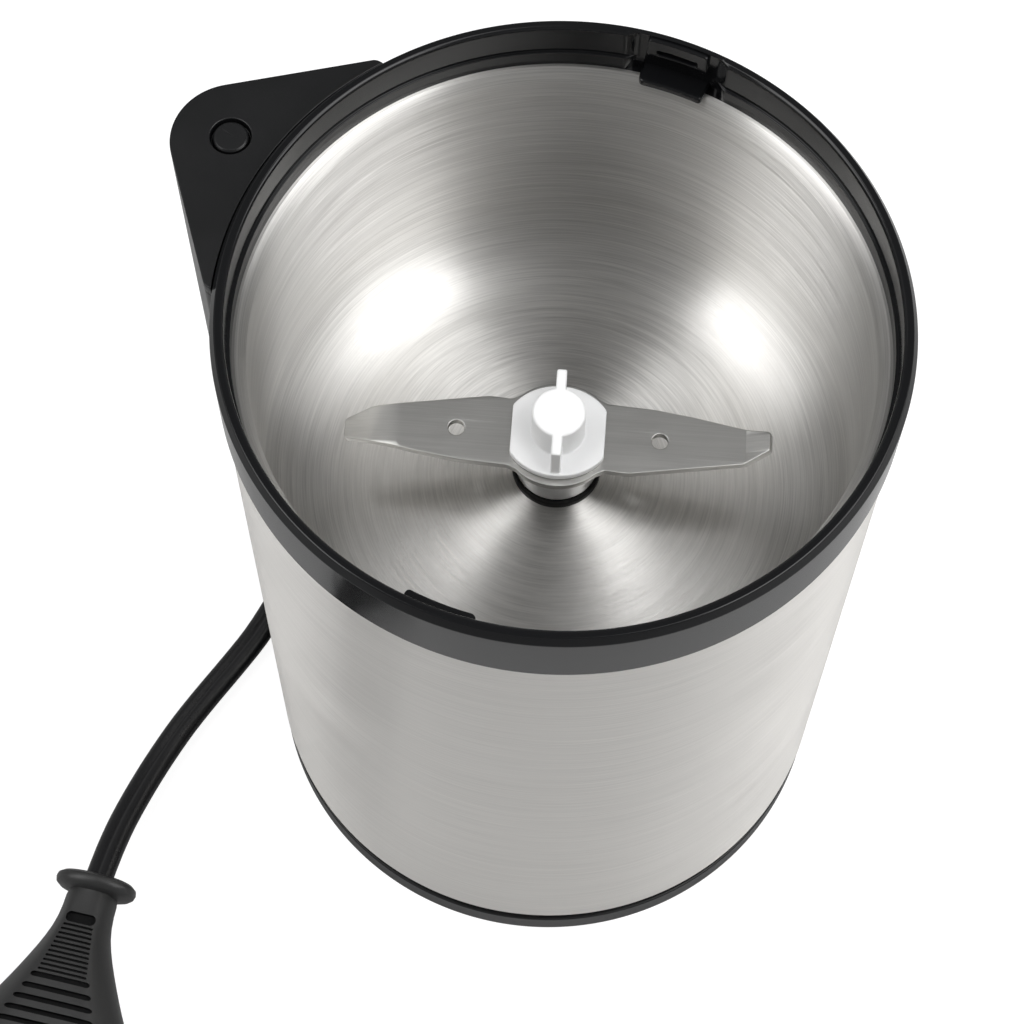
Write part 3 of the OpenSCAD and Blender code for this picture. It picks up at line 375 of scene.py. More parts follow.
def refined(name, node, width):
    """A copy of a frame node with rounded edges"""
    piece = link(name, frame["nodes"][node].data.copy())
    with editing(piece.data) as form:
        bmesh.ops.remove_doubles(form, verts=form.verts, dist=0.001 * MM)
        bmesh.ops.dissolve_limit(form, angle_limit=radians(0.5), verts=form.verts, edges=form.edges)
    modify(piece, "BEVEL", width=width * MM, segments=3, limit_method="ANGLE", angle_limit=radians(40),
        use_clamp_overlap=True)
    return shade(settle(piece), 34)


def sliced(piece, positions):
    """Adds edge loops across a piece, so that it can be bent along X"""
    with editing(piece.data) as form:
        for position in positions:
            bmesh.ops.bisect_plane(form, geom=form.verts[:] + form.edges[:] + form.faces[:], dist=1e-7,
                plane_co=Vector((position, 0, 0)) * MM, plane_no=(1, 0, 0))


def reshaped(piece, move, sharp=38.0):
    """Moves each point, given and returned in millimetres"""
    for vertex in piece.data.vertices:
        vertex.co = Vector(move(vertex.co / MM)) * MM
    return tidy(piece, sharp)


def circle(radius, centre=(0, 0), steps=32):
    return [(centre[0] + radius * cos(2 * pi * i / steps), centre[1] + radius * sin(2 * pi * i / steps))
        for i in range(steps)]


def box_outline(width, depth, centre=(0, 0)):
    return [(centre[0] + sx * width / 2, centre[1] + sy * depth / 2)
        for sx, sy in ((-1, -1), (1, -1), (1, 1), (-1, 1))]


def line_through(points, gap):
    """A smooth line through points, with its own points about gap apart"""
    made = []
    ends = [2 * Vector(points[0]) - Vector(points[1])]
    knots = ends + [Vector(p) for p in points] + [2 * Vector(points[-1]) - Vector(points[-2])]
    for i in range(1, len(knots) - 2):
        a, b, c, d = knots[i - 1:i + 3]
        steps = max(1, round((c - b).length / gap))
        for k in range(steps):
            t = k / steps
            made.append(0.5 * (2 * b + (c - a) * t + (2 * a - 5 * b + 4 * c - d) * t * t
                + (3 * b - a - 3 * c + d) * t ** 3))
    return made + [knots[-2]]


def headings(route):
    """The direction of a line at each of its points"""
    last = len(route) - 1
    return [(route[min(i + 1, last)] - route[max(i - 1, 0)]).normalized() for i in range(last + 1)]


# ---- nodes

def both_ways(operation):
    """An operator and its reflected form, for one operation of the Math node"""
    return (lambda a, b: a.graph.maths(operation, a, b), lambda a, b: a.graph.maths(operation, b, a))


class Value:
    """A node's output that takes Python's arithmetic. Each operation adds one Math node"""
    __add__, __radd__ = both_ways("ADD")
    __sub__, __rsub__ = both_ways("SUBTRACT")
    __mul__, __rmul__ = both_ways("MULTIPLY")
    __truediv__, __rtruediv__ = both_ways("DIVIDE")
    __pow__, __rpow__ = both_ways("POWER")

    def __init__(self, graph, socket):
        self.graph, self.socket = graph, socket


class Graph:
    """A tree's nodes, with one method that adds any of them"""

    def __init__(self, owner):
        owner.use_nodes = True
        self.nodes, self.links = owner.node_tree.nodes, owner.node_tree.links
        self.nodes.clear()

    def add(self, kind, inputs=None, output=0, **settings):
        node = self.nodes.new(kind if "Node" in kind else "ShaderNode" + kind)
        for name, value in settings.items():
            if name == "stops":
                points = node.color_ramp.elements
                while len(points) < len(value):
                    points.new(1.0)
                for point, (position, grey) in zip(points, value):
                    point.position, point.color = position, (grey, grey, grey, 1.0)
            else:
                setattr(node, name, value)
        for name, value in (inputs or {}).items():
            if isinstance(value, Value):
                self.links.new(value.socket, node.inputs[name])
            else:
                node.inputs[name].default_value = value
        return Value(self, node.outputs[output]) if node.outputs else node

    def maths(self, operation, a, b):
        return self.add("Math", {0: a, 1: b}, operation=operation)

    def vector(self, x, y, z):
        return self.add("CombineXYZ", {0: x, 1: y, 2: z})

    def mix(self, a, b, factor):
        """A colour between two"""
        return self.add("Mix", {0: factor, 6: (*a, 1.0), 7: (*b, 1.0)}, 2, data_type="RGBA")


# ---- Geometry Nodes for what repeats

class Repeat(Graph):
    """One Geometry Nodes tree that repeats a shape, with named inputs for its sizes"""

    def __init__(self, name):
        self.tree = bpy.data.node_groups.new(name, "GeometryNodeTree")
        self.nodes, self.links = self.tree.nodes, self.tree.links
        self.tree.interface.new_socket(name="Geometry", in_out="OUTPUT", socket_type="NodeSocketGeometry")
        self.given = self.nodes.new("NodeGroupInput")
        self.identifiers = {}

    def size(self, label, kind="Float"):
        socket = self.tree.interface.new_socket(name=label, in_out="INPUT",
            socket_type="NodeSocket" + kind)
        self.identifiers[label] = socket.identifier
        return Value(self, self.given.outputs[label])

    def close(self, points, **placing):
        """Sets the shape on each point, and ends the tree in real, coated copies"""
        shape = self.add("GeometryNodeObjectInfo", {"Object": self.size("Shape", "Object")}, "Geometry")
        copies = self.add("GeometryNodeInstanceOnPoints", {"Points": points, "Instance": shape,
            **placing})
        real = self.add("GeometryNodeRealizeInstances", {"Geometry": copies})
        coated = self.add("GeometryNodeSetMaterial", {"Geometry": real,
            "Material": self.size("Material", "Material")})
        self.add("NodeGroupOutput", {"Geometry": coated})
        return self

    def make(self, name, **values):
        """Runs the tree and gives its result as a plain piece"""
        piece = link(name, bpy.data.meshes.new(name))
        modifier = modify(piece, "NODES", node_group=self.tree)
        for label, value in values.items():
            modifier[self.identifiers[label.replace("_", " ").capitalize()]] = value
        piece.data.update()
        return settle(piece)


def row_tree():
    """Copies of a shape in a straight row, whose lengths grow from the first to the last"""
    tree = Repeat("row_of_copies")
    count = tree.size("Count", "Int")
    line = tree.add("GeometryNodeMeshLine", {"Count": count,
        "Start Location": tree.size("Start", "Vector"), "Offset": tree.vector(tree.size("Pitch"), 0.0,
        tree.size("Rise"))}, mode="OFFSET")
    grown = tree.add("MapRange", {"Value": tree.add("GeometryNodeInputIndex"), "From Min": 0.0,
        "From Max": count - 1.0, "To Min": tree.size("First length"), "To Max": tree.size("Last length")})
    return tree.close(line, Scale=tree.vector(1.0, grown, 1.0))


def circle_tree():
    """Copies of a shape round the shaft axis"""
    tree = Repeat("circle_of_copies")
    count, start = tree.size("Count", "Int"), tree.size("Start angle")
    ring = tree.add("GeometryNodeMeshCircle", {"Vertices": count, "Radius": tree.size("Radius")})
    ring = tree.add("GeometryNodeTransform", {"Geometry": ring, "Rotation": tree.vector(0.0, 0.0, start)})
    turn = start + tree.add("GeometryNodeInputIndex") * (2 * pi / count)
    return tree.close(ring, Rotation=tree.vector(0.0, 0.0, turn))


# ---- finishes

def shaded(base, factor):
    return tuple(min(1.0, c * factor) for c in base)


class Finish(Graph):
    """One procedural material"""

    def __init__(self, name, **constants):
        self.material = bpy.data.materials.new(name)
        super().__init__(self.material)
        self.shader = self.nodes.new("ShaderNodeBsdfPrincipled")
        end = self.nodes.new("ShaderNodeOutputMaterial")
        self.links.new(self.shader.outputs[0], end.inputs[0])
        for label, value in constants.items():
            self.shader.inputs[label.replace("_", " ")].default_value = value
        self.position = self.add("TexCoord", output="Object")

    def feed(self, label, value):
        self.links.new(value.socket, self.shader.inputs[label])

    def axes(self, vector=None):
        return [self.add("SeparateXYZ", {0: vector or self.position}, i) for i in range(3)]

    def noise(self, scale, detail=2.0, rough=0.5, vector=None):
        return self.add("TexNoise", {"Vector": vector or self.position, "Scale": scale, "Detail": detail,
            "Roughness": rough}, "Fac")

    def lines(self, detail, x, y, z):
        """Noise that is drawn out into lines where an axis is stretched least"""
        return self.noise(1.0, detail, 0.6, self.vector(x, y, z))

    def clamp(self, value, low, high):
        return self.add("Clamp", {"Value": value, "Min": low, "Max": high})

    def tint(self, base, dark, light, factor):
        self.feed("Base Color", self.mix(shaded(base, dark), shaded(base, light), factor))

    def dull(self, value, low, high):
        self.feed("Roughness", self.clamp(value, low, high))

    def relief(self, height, distance, strength):
        self.feed("Normal", self.add("Bump", {"Height": height, "Strength": strength,
            "Distance": distance}))


def brushed_steel(name, base, lines, rough, spread, contrast, broadness):
    """Steel with fine lines round the axis: lines is "wall", or "rings" where they cross a floor"""
    look = Finish(name, Metallic=1.0, Anisotropic=spread, Anisotropic_Rotation=0.25)
    x, y, z = look.axes()
    if lines == "wall":
        fine = look.lines(3.0, x * 45.0, y * 45.0, z * 5200.0)
        broad = look.lines(3.0, x * 16.0, y * 16.0, z * 1100.0)
    else:
        r = (x * x + y * y) ** 0.5
        fine = look.lines(3.0, x / r * 2.6, y / r * 2.6, (r + z) * 4200.0)
        broad = look.lines(3.0, x / r * 1.3, y / r * 1.3, (r + z) * 900.0)
    cloud = look.noise(55.0)
    grain = (fine - 0.5) * contrast + (broad - 0.5) * contrast * broadness + 0.5
    look.tint(base, 0.78, 1.1, look.clamp(grain, 0.0, 1.0))
    look.dull(rough + (fine - 0.5) * 0.3 + (cloud - 0.5) * 0.08, 0.12, 0.7)
    look.relief(fine * 0.6 + broad * 0.4, 0.00003, 0.4)
    return look.material


def plastic(name, base, rough, grain=0.0, level=0.5, grain_scale=2600.0, **constants):
    """Moulded plastic: a little uneven in gloss, with fine grain where it is satin"""
    look = Finish(name, Specular_IOR_Level=level, **constants)
    cloud, speck = look.noise(90.0, 3.0), look.noise(grain_scale, 1.0)
    dark, light = (0.96, 1.03) if base[0] > 0.5 else (0.88, 1.14)
    look.tint(base, dark, light, cloud)
    look.dull(rough + (cloud - 0.5) * 0.16 + (speck - 0.5) * 0.06, 0.04, 0.95)
    look.relief(speck * max(grain, 0.04) + cloud * 0.3, 0.00004, 0.35 if grain else 0.08)
    return look.material


def hub_plastic(name, base):
    """White plastic that lets a little light in"""
    return plastic(name, base, 0.34, 0.1, Subsurface_Weight=0.35, Subsurface_Scale=0.0015,
        Subsurface_Radius=(1, 1, 1))


def plain_metal(name, base, rough, scratch, relief):
    look = Finish(name, Metallic=1.0)
    x, y, z = look.axes()
    lines = look.lines(2.0, x * scratch, y * scratch, z * scratch * 0.25)
    cloud = look.noise(140.0, 3.0)
    look.tint(base, 0.8, 1.12, cloud)
    look.dull(rough + (lines - 0.5) * 0.25 + (cloud - 0.5) * 0.1, 0.05, 0.9)
    look.relief(lines, 0.00003, relief)
    return look.material


def ground_blade(name, base):
    """Stamped steel with fine lines along the blade"""
    look = Finish(name, Metallic=1.0)
    x, y, z = look.axes(look.add("VectorRotate", {"Vector": look.position, "Angle": -BLADE_DIR},
        rotation_type="Z_AXIS"))
    lines = look.lines(3.0, x * 90.0, y * 5200.0, z * 900.0)
    cloud = look.noise(120.0)
    look.tint(base, 0.86, 1.1, look.clamp(lines * 1.4 - 0.2, 0.0, 1.0))
    look.dull(0.3 + (lines - 0.5) * 0.03 + (cloud - 0.5) * 0.06, 0.1, 0.6)
    look.relief(lines, 0.000002, 0.15)
    return look.material


def wound_wire(name, base):
    """Enamelled wire seen as fine strands"""
    look = Finish(name, Metallic=0.6, Coat_Weight=0.6)
    strands = look.add("TexWave", {"Vector": look.position, "Scale": 900.0, "Distortion": 0.6}, "Fac",
        bands_direction="DIAGONAL")
    look.tint(base, 0.45, 1.1, strands)
    look.feed("Roughness", 0.3 + look.noise(180.0) * 0.25)
    look.relief(strands, 0.0001, 0.6)
    return look.material


def stacked_sheet(name, base):
    """Edges of thin stamped sheets, one over another"""
    look = Finish(name, Metallic=0.85)
    edge = look.add("TexWave", {"Vector": look.position, "Scale": 320.0}, "Fac", bands_direction="Z")
    cloud = look.noise(220.0, 3.0)
    look.tint(base, 0.5, 1.1, look.clamp(edge * 0.8 + cloud * 0.3, 0.0, 1.0))
    look.feed("Roughness", 0.38 + cloud * 0.25)
    look.relief(edge, 0.0001, 0.5)
    return look.material


# Each slot's maker, its own tint or its share of the record's colour, and the maker's numbers
FINISHES = {
    "steel_shell": (brushed_steel, "shell_steel", "wall", 0.38, 0.9, 1.4, 0.25),
    "steel_bowl": (brushed_steel, "bowl_steel", "rings", 0.41, 1.0, 2.2, 0.3),
    "blade_steel": (ground_blade, "blade_steel"),
    "shaft_steel": (plain_metal, 1.3, 0.34, 1800.0, 0.1),
    "black_gloss": (plastic, "gloss_black", 0.11, 0.0, 0.3),
    "black_satin": (plastic, "satin_black", 0.33, 0.5, 0.35),
    "black_base": (plastic, 0.12, 0.38, 0.5, 0.3),
    "grey_inner": (plastic, 1.0, 0.5, 0.6),
    "rubber": (plastic, 1.0, 0.6, 0.9, 0.5, 1500.0),
    "seal_rubber": (plastic, 0.2, 0.5, 0.6, 0.2, 1500.0),
    "white_plastic": (hub_plastic, "hub_white"),
    "cord_black": (plastic, "cord_black", 0.3, 0.4, 0.35, 1300.0),
    "plug_black": (plastic, 0.8, 0.4, 0.7, 0.42, 1900.0),
    "nylon": (plastic, 1.0, 0.45, 0.3),
    "lead_blue": (plastic, 1.0, 0.35, 0.2),
    "lead_brown": (plastic, 1.0, 0.35, 0.2),
    "carbon": (plastic, 1.0, 0.75, 0.9, 0.5, 2200.0),
    "winding": (wound_wire, 1.0),
    "lamination": (stacked_sheet, 1.0),
    "die_cast": (plain_metal, 1.0, 0.5, 2500.0, 0.6),
    "bronze": (plain_metal, 1.0, 0.5, 3200.0, 0.6),
    "copper": (plain_metal, 1.0, 0.28, 1500.0, 0.2),
    "brass": (plain_metal, 1.0, 0.3, 1100.0, 0.2),
    "pin_metal": (plain_metal, 1.0, 0.16, 1500.0, 0.1),
    "zinc_screw": (plain_metal, 1.0, 0.34, 1800.0, 0.3),
    "spring_steel": (plain_metal, 1.0, 0.25, 2200.0, 0.2),
}


def finish_of(slot):
    """The material of one of the record's slots, made at its first use"""
    name = "finish_" + slot
    if name in bpy.data.materials:
        return bpy.data.materials[name]
    maker, tone, *numbers = FINISHES[slot]
    if isinstance(tone, str):
        base = tuple(getattr(bpy.context.scene.grinder_finish, tone))
    else:
        listed = {m["slot"]: m["base_color"] for m in frame["record"]["materials"]}
        base = shaded(listed[slot], tone)
    return maker(name, base, *numbers)


def adopt(piece, body, slot, *nodes):
    """Gives a finished piece the material of its slot and its body, and hides the frame nodes it stands for
    """
    piece.data.materials.clear()
    piece.data.materials.append(finish_of(slot))
    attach(piece, body)
    if nodes:
        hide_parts(*nodes)
    return piece


# ---- cord and plug

def coil_points():
    """Three and a half turns in two layers, tied behind the body"""
    outer_turn, step_in, lowest, step_up = 30, 5.5, 2.1, 3.15
    made = []
    for degrees in range(0, 1261, 4):
        inwards = eased(clamped((degrees - 300) / 60) - clamped((degrees - 900) / 60))
        upwards = eased((degrees - 590) / 70)
        radius, angle = outer_turn - step_in * inwards, radians(degrees)
        made.append(Vector((COIL_CENTRE[0] + radius * cos(angle), COIL_CENTRE[1] + radius * sin(angle),
            lowest + step_up * upwards)))
    return made


def cord_line():
    """The cord's whole line in millimetres, and the place where its last stretch starts"""
    lead_in = [(0, 60, 5.3), (0, 65, 5.3), (0, 69.5, 5.3), (0, 73, 5.1), (0, 77, 4.2), (0, 81, 3.2),
        (0, 85, 2.3), (0, 89, 2.0), (0, 92, 2.1)]
    last = [(-60, 92, 5.25), (-60, 85, 4.9), (-59.9, 78, 4.1), (-59.6, 71, 3.1), (-59, 64, 2.3),
        (-58.2, 56, 1.95), (-57.2, 48, 1.95), (-56, 40, 1.95), (-54.8, 32, 1.95), (-53.6, 24, 1.95),
        (-52.5, 16, 1.95), (-51.5, 8, 1.95), (-50.6, 0, 1.95), (-49.8, -8, 1.95), (-49.1, -15, 1.95),
        (-48.8, -22, 1.95), (-49.2, -29, 1.95), (-49.8, -36, 1.95), (-50.2, -43, 2.0), (-50.1, -50, 2.2),
        (-49.5, -57, 2.9), (-48.4, -64, 4.1), (-46.9, -70, 5.4), (-45.2, -75.4, 6.6), (-44.7, -77.0, 6.9)]
    start = line_through(lead_in, 2.4)[:-1] + coil_points()[:-1]
    return start + line_through(last, 2.4), len(start)


def twin_section(width, thickness, steps=18):
    """Two round cores side by side with a groove between them, as (across, up)"""
    core, half, groove = thickness / 2, (width - thickness) / 2, 0.12
    meet = acos(half / core)
    turns = [(meet - pi) + (2 * pi - 2 * meet) * k / steps for k in range(1, steps)]
    right = [(half + core * cos(a), core * sin(a)) for a in turns]
    left = [(-x, -y) for x, y in right]
    notch = core * sin(meet)
    return right + [(groove, notch), (-groove, notch)] + left + [(-groove, -notch), (groove, -notch)]


def make_cord(sizes):
    route, turn_end = cord_line()
    section = twin_section(sizes.cord_width / MM, sizes.cord_thickness / MM)
    rings, points_to_lean = [], 22
    for i, (here, ahead) in enumerate(zip(route, headings(route))):
        across = Vector((0, 0, 1)).cross(ahead).normalized()
        up = ahead.cross(across)
        roll = sizes.cord_lean * eased((i - turn_end) / points_to_lean)
        side = across * cos(roll) + up * sin(roll)
        top = up * cos(roll) - across * sin(roll)
        rings.append([here + side * u + top * v for u, v in section])
    return skin("mains_cord", rings, 60), [p * MM for p in route]


def make_strain_relief():
    """A tapered rubber sleeve with relief grooves, along +Y out of the base"""
    stations = [(47.2, 4.2, 2.9), (47.6, 4.6, 3.2), (49.4, 4.6, 3.2), (49.8, 4.3, 3.0)]
    y = 50.6
    while y < 66:
        size = 4.35 - (y - 50) * 0.072
        stations += [(y, size, size * 0.7), (y + 1.5, size - 0.1, size * 0.69),
            (y + 1.75, size - 0.5, size * 0.69 - 0.35), (y + 2.35, size - 0.55, size * 0.69 - 0.4)]
        y += 2.6
    stations += [(67.0, 3.1, 2.15), (69.0, 3.0, 2.08), (69.5, 2.75, 1.85)]
    rings = [[Vector((u, y, 5.3 + v)) for u, v in oval(w, h, 3.2, 36)] for y, w, h in stations]
    return skin("strain_relief", rings, 35)


def make_coil_tie():
    """A flat strap round the coiled turns"""
    inner, outer, low, high, wall, width = 21.35, 33.0, 0.02, 8.15, 0.4, 6.0
    middle = Vector(((inner + outer) / 2, (low + high) / 2))
    rings = []
    for r, z in soften([(inner, low), (outer, low), (outer, high), (inner, high)], 1.6, 5):
        out = Vector((r, z)) - middle
        shrink = Vector((r, z)) - Vector((copysign(wall, out.x), copysign(wall, out.y)))
        rings.append([(r, -width / 2, z), (r, width / 2, z), (shrink.x, width / 2, shrink.y),
            (shrink.x, -width / 2, shrink.y)])
    piece = hoop("coil_strap", rings, 30)
    return place(piece, Matrix.Translation((*COIL_CENTRE, 0)) @ Matrix.Rotation(radians(-60), 4, "Z"))


def plug_sections():
    """Distances from the guard's outer face, with half width, half height, edge and flank there"""
    guard = [(0.0, 5.3, 3.7), (0.25, 6.3, 4.7), (0.75, 6.95, 5.35), (1.4, 7.1, 5.5), (2.1, 6.9, 5.3)]
    neck = [(2.6, 6.2, 4.9, 2.3, 0), (2.9, 5.1, 4.3, 2.5, 0), (3.15, 4.7, 4.0, 4, 0.9),
        (4.2, 4.65, 3.95, 8, 0.97), (6.0, 4.65, 4.05, 11, 1)]
    grip = [(8.0, 4.85, 4.25), (10.0, 5.3, 4.5), (12.0, 6.0, 4.75), (14.0, 6.85, 5.0), (16.0, 7.8, 5.25),
        (18.0, 8.8, 5.5), (20.0, 9.85, 5.72), (22.0, 10.95, 5.92), (24.0, 12.1, 6.15),
        (26.0, 13.35, 6.35), (28.0, 14.75, 6.52), (30.0, 16.2, 6.68), (31.6, 17.3, 6.78),
        (32.8, 17.6, 6.82), (35.0, 17.6, 6.82)]
    end = [(36.8, 17.1, 6.7, 11, 1), (37.6, 16.4, 6.4, 10, 1), (38.0, 15.4, 5.8, 9, 1)]
    return [(*at, 2.2, 0) for at in guard] + neck + [(*at, 12, 1) for at in grip] + end


def make_plug(sizes):
    rings = [[Vector((x, u, v)) for u, v in oval(w, h, power, 112, flank)]
        for x, w, h, power, flank in plug_sections()]
    body = skin("plug_grip", rings, 50)
    rows = row_tree()
    coat = finish_of("plug_black")
    kinds = [(sizes.fine_grooves, 10.0, 4.5, 0.86, 0.118, 0.42, 0.8, 5.2, 8.6),
        (sizes.wide_grooves, 19.7, 5.68, 2.1, 0.1, 0.95, 1.2, 10.4, 19.0)]
    cutters = []
    for flip in (0, pi):
        for count, x, z, pitch, rise, wide, deep, first, last in kinds:
            outline = soften(box_outline(wide, 5 + wide), wide * 0.48, 5)
            bar = plate("groove", [outline], -deep, 2.0, 0.06, 1)
            grooves = rows.make("grooves", Shape=bar, Count=count, Pitch=pitch * MM, Rise=rise * MM,
                Start=Vector((x, 0, z)) * MM, First_length=first / (5 + wide),
                Last_length=last / (5 + wide), Material=coat)
            discard(bar)
            cutters.append(place(grooves, Matrix.Rotation(flip, 4, "X")))
    window = plate("window", [soften(box_outline(1.9, 5.2, (8.5, 0)), 0.9, 6)], 3.0, 6.0, 0.1, 1)
    cutters.append(window)
    cut(body, cutters)
    tidy(body, 30)
    pin_outline = soften([(0, 10), (2, 10), (2, 19, 0.8), (0, 19)], 0.1, 5)
    sleeve_outline = soften([(0, 0), (1.75, 0), (1.75, 10), (0, 10)], 0.15)
    end, half_gap = 38, 9.3
    pins, sleeves = [], []
    for side in (-1, 1):
        turn = Matrix.Translation((end, side * half_gap, 0)) @ Matrix.Rotation(pi / 2, 4, "Y")
        pins.append(place(lathe("pin", pin_outline, 48), turn))
        sleeves.append(place(lathe("sleeve", sleeve_outline, 48), turn))
    made = (body, joined("contact_pins", pins), joined("contact_sleeves", sleeves))
    return [place(piece, PLUG_PLACE) for piece in made]


def paint_groove_shade(body):
    """Paints shade into the grooves and the window of the plug: a near-black, dull material on the faces
    that lie under the plug's skin
    """
    # Painted shade: the near-black base colour stands in for the shade that falls inside the grooves and
    # the window
    body.data.materials.append(plastic("finish_groove", (0.003, 0.003, 0.0032), 0.75, 0.6, 0.15))
    back, sections = PLUG_PLACE.inverted(), plug_sections()
    neck_end, grip_end, skin_depth = 5, 35, 0.972
    for face in body.data.polygons:
        x, y, z = back @ (face.center / MM)
        if neck_end < x < grip_end:
            after = next(i for i, section in enumerate(sections) if section[0] > x)
            near, far = Vector(sections[after - 1]), Vector(sections[after])
            _, half_width, half_height, power, flank = near.lerp(far, (x - near[0]) / (far[0] - near[0]))
            across, up = abs(y) / half_width, abs(z) / half_height
            spread = across ** power + up ** power + (flank * (0.84 * across + 0.53 * up)) ** power
            face.material_index = 1 if spread ** (1 / power) < skin_depth else 0


# ---- shell, ring, bowl and base

def make_shell(sizes):
    r, wall = sizes.shell_radius / MM, sizes.shell_wall / MM
    top = (sizes.ring_top - sizes.ring_band) / MM
    outline = soften([(r, 9.2, 0.5), (r, top, 0.1), (r - wall, top, 0.1), (r - wall, 10.0, 0.3),
        (r - 2.7, 10.0, 0.1), (r - 2.7, 9.2, 0.1)], 0.1, 5)
    return lathe("steel_shell", outline, 288)


def make_ring(sizes):
    r, top = sizes.ring_radius / MM, sizes.ring_top / MM
    band = top - sizes.ring_band / MM
    recess, ease = radians(9.8), radians(2.6)
    outline = soften([(r, band, 0.3), (r, top - 1.2, 0.4), (r - 0.7, top, 0.25), (r - 2.0, top, 0.6),
        (r - 2.0, top - 5.5, 0.1), (r - 2.4, top - 5.5, 0.12), (r - 2.4, top - 8.3, 0.05),
        (r - 1.75, top - 8.3, 0.05), (r - 1.75, band + 1, 0.05), (r - 2.9, band + 0.4, 0.05),
        (r - 2.9, top - 12.9, 0.05), (r - 3.2, top - 12.9, 0.05), (r - 3.2, top - 17.5, 0.2),
        (r - 1.4, top - 17.5, 0.2), (r - 1.4, band, 0.05)], 0.1, 4)

    def shift(angle, at, z):
        off = abs((angle - LOCK_DIR + pi) % (2 * pi) - pi)
        if z > top - 8.25 and at < r - 1.62:
            at += (r - 1.4 - at) * eased((recess - off) / ease)
        return at, z

    turns = [2 * pi * i / 288 for i in range(288)]
    turns += [LOCK_DIR + s * (recess + radians(0.3 - 0.4 * k)) for s in (-1, 1) for k in range(9)]
    turns = sorted({round(angle, 6) for angle in turns})
    parts = [lathe("ring_wall", outline, angles=turns, shift=shift)]
    for turn, near, half in ((0, r - 4.6, radians(6.3)), (radians(178.8), r - 5.3, radians(6.7))):
        far = r - 1.2
        steps = [LOCK_DIR + turn + half * k / 8 for k in range(-8, 9)]
        edge = [(far * cos(a), far * sin(a), 0.1) for a in steps]
        edge += [(near * cos(a), near * sin(a), 1.3 if k in (0, 16) else 0)
            for k, a in enumerate(reversed(steps)) if k not in (1, 2, 15)]
        parts.append(plate("lid_tab", [soften(edge, 0.1, 5)], top - 8.2, top - 7.0, 0.25, 3))
    wide, mid = radians(5.6) * 2, r - 1.6
    bar = plate("lock_bar", [soften(box_outline(wide * mid, 3.7, (0, top - 2.15)), 0.45, 5),
        soften(box_outline(wide * mid * 0.66, 1.0, (0, top - 2.9)), 0.25, 4)], 0.0, 0.9, 0.2, 3)
    sliced(bar, [-4 + 0.8 * k for k in range(11)])

    def bend(p):
        at, angle = r - 2.1 + p.z, LOCK_DIR - p.x / mid
        return at * cos(angle), at * sin(angle), p.y

    parts.append(reshaped(bar, bend))
    return joined("lid_ring", parts)


def bowl_outline(sizes):
    inside, wall = sizes.bowl_radius / MM, sizes.bowl_wall / MM
    corner, slope = sizes.bowl_corner / MM, sizes.floor_slope
    rim = sizes.ring_top / MM - 8.3
    centre = Vector((inside - corner, sizes.bowl_floor / MM + corner))
    hole, shoulder, rise, bow = 5.9, 1.4, 2.6, 0.5

    def side(off):
        low = centre.y - (corner + off) * cos(slope)
        meet = centre.x - (corner + off) * sin(slope)
        made = [(hole + (meet - hole) * k / 6, low + (meet - hole) * (6 - k) / 6 * tan(slope))
            for k in range(6)]
        for k in range(25):
            a = -pi / 2 - slope + k * (pi / 2 + slope) / 24
            made.append((centre.x + (corner + off) * cos(a), centre.y + (corner + off) * sin(a)))
        for k in range(1, 8):
            made.append((inside + off, centre.y + (rim - rise - centre.y) * k / 8))
        for k in range(13):
            t, even = k * pi / 24, (1 - bow) * k / 12
            made.append((inside + off + shoulder * (bow * (1 - cos(t)) + even),
                rim - rise + (rise - off) * (bow * sin(t) + even)))
        return made

    return side(0.0) + [(46.15, rim), (46.15, rim - wall)] + side(wall)[::-1]


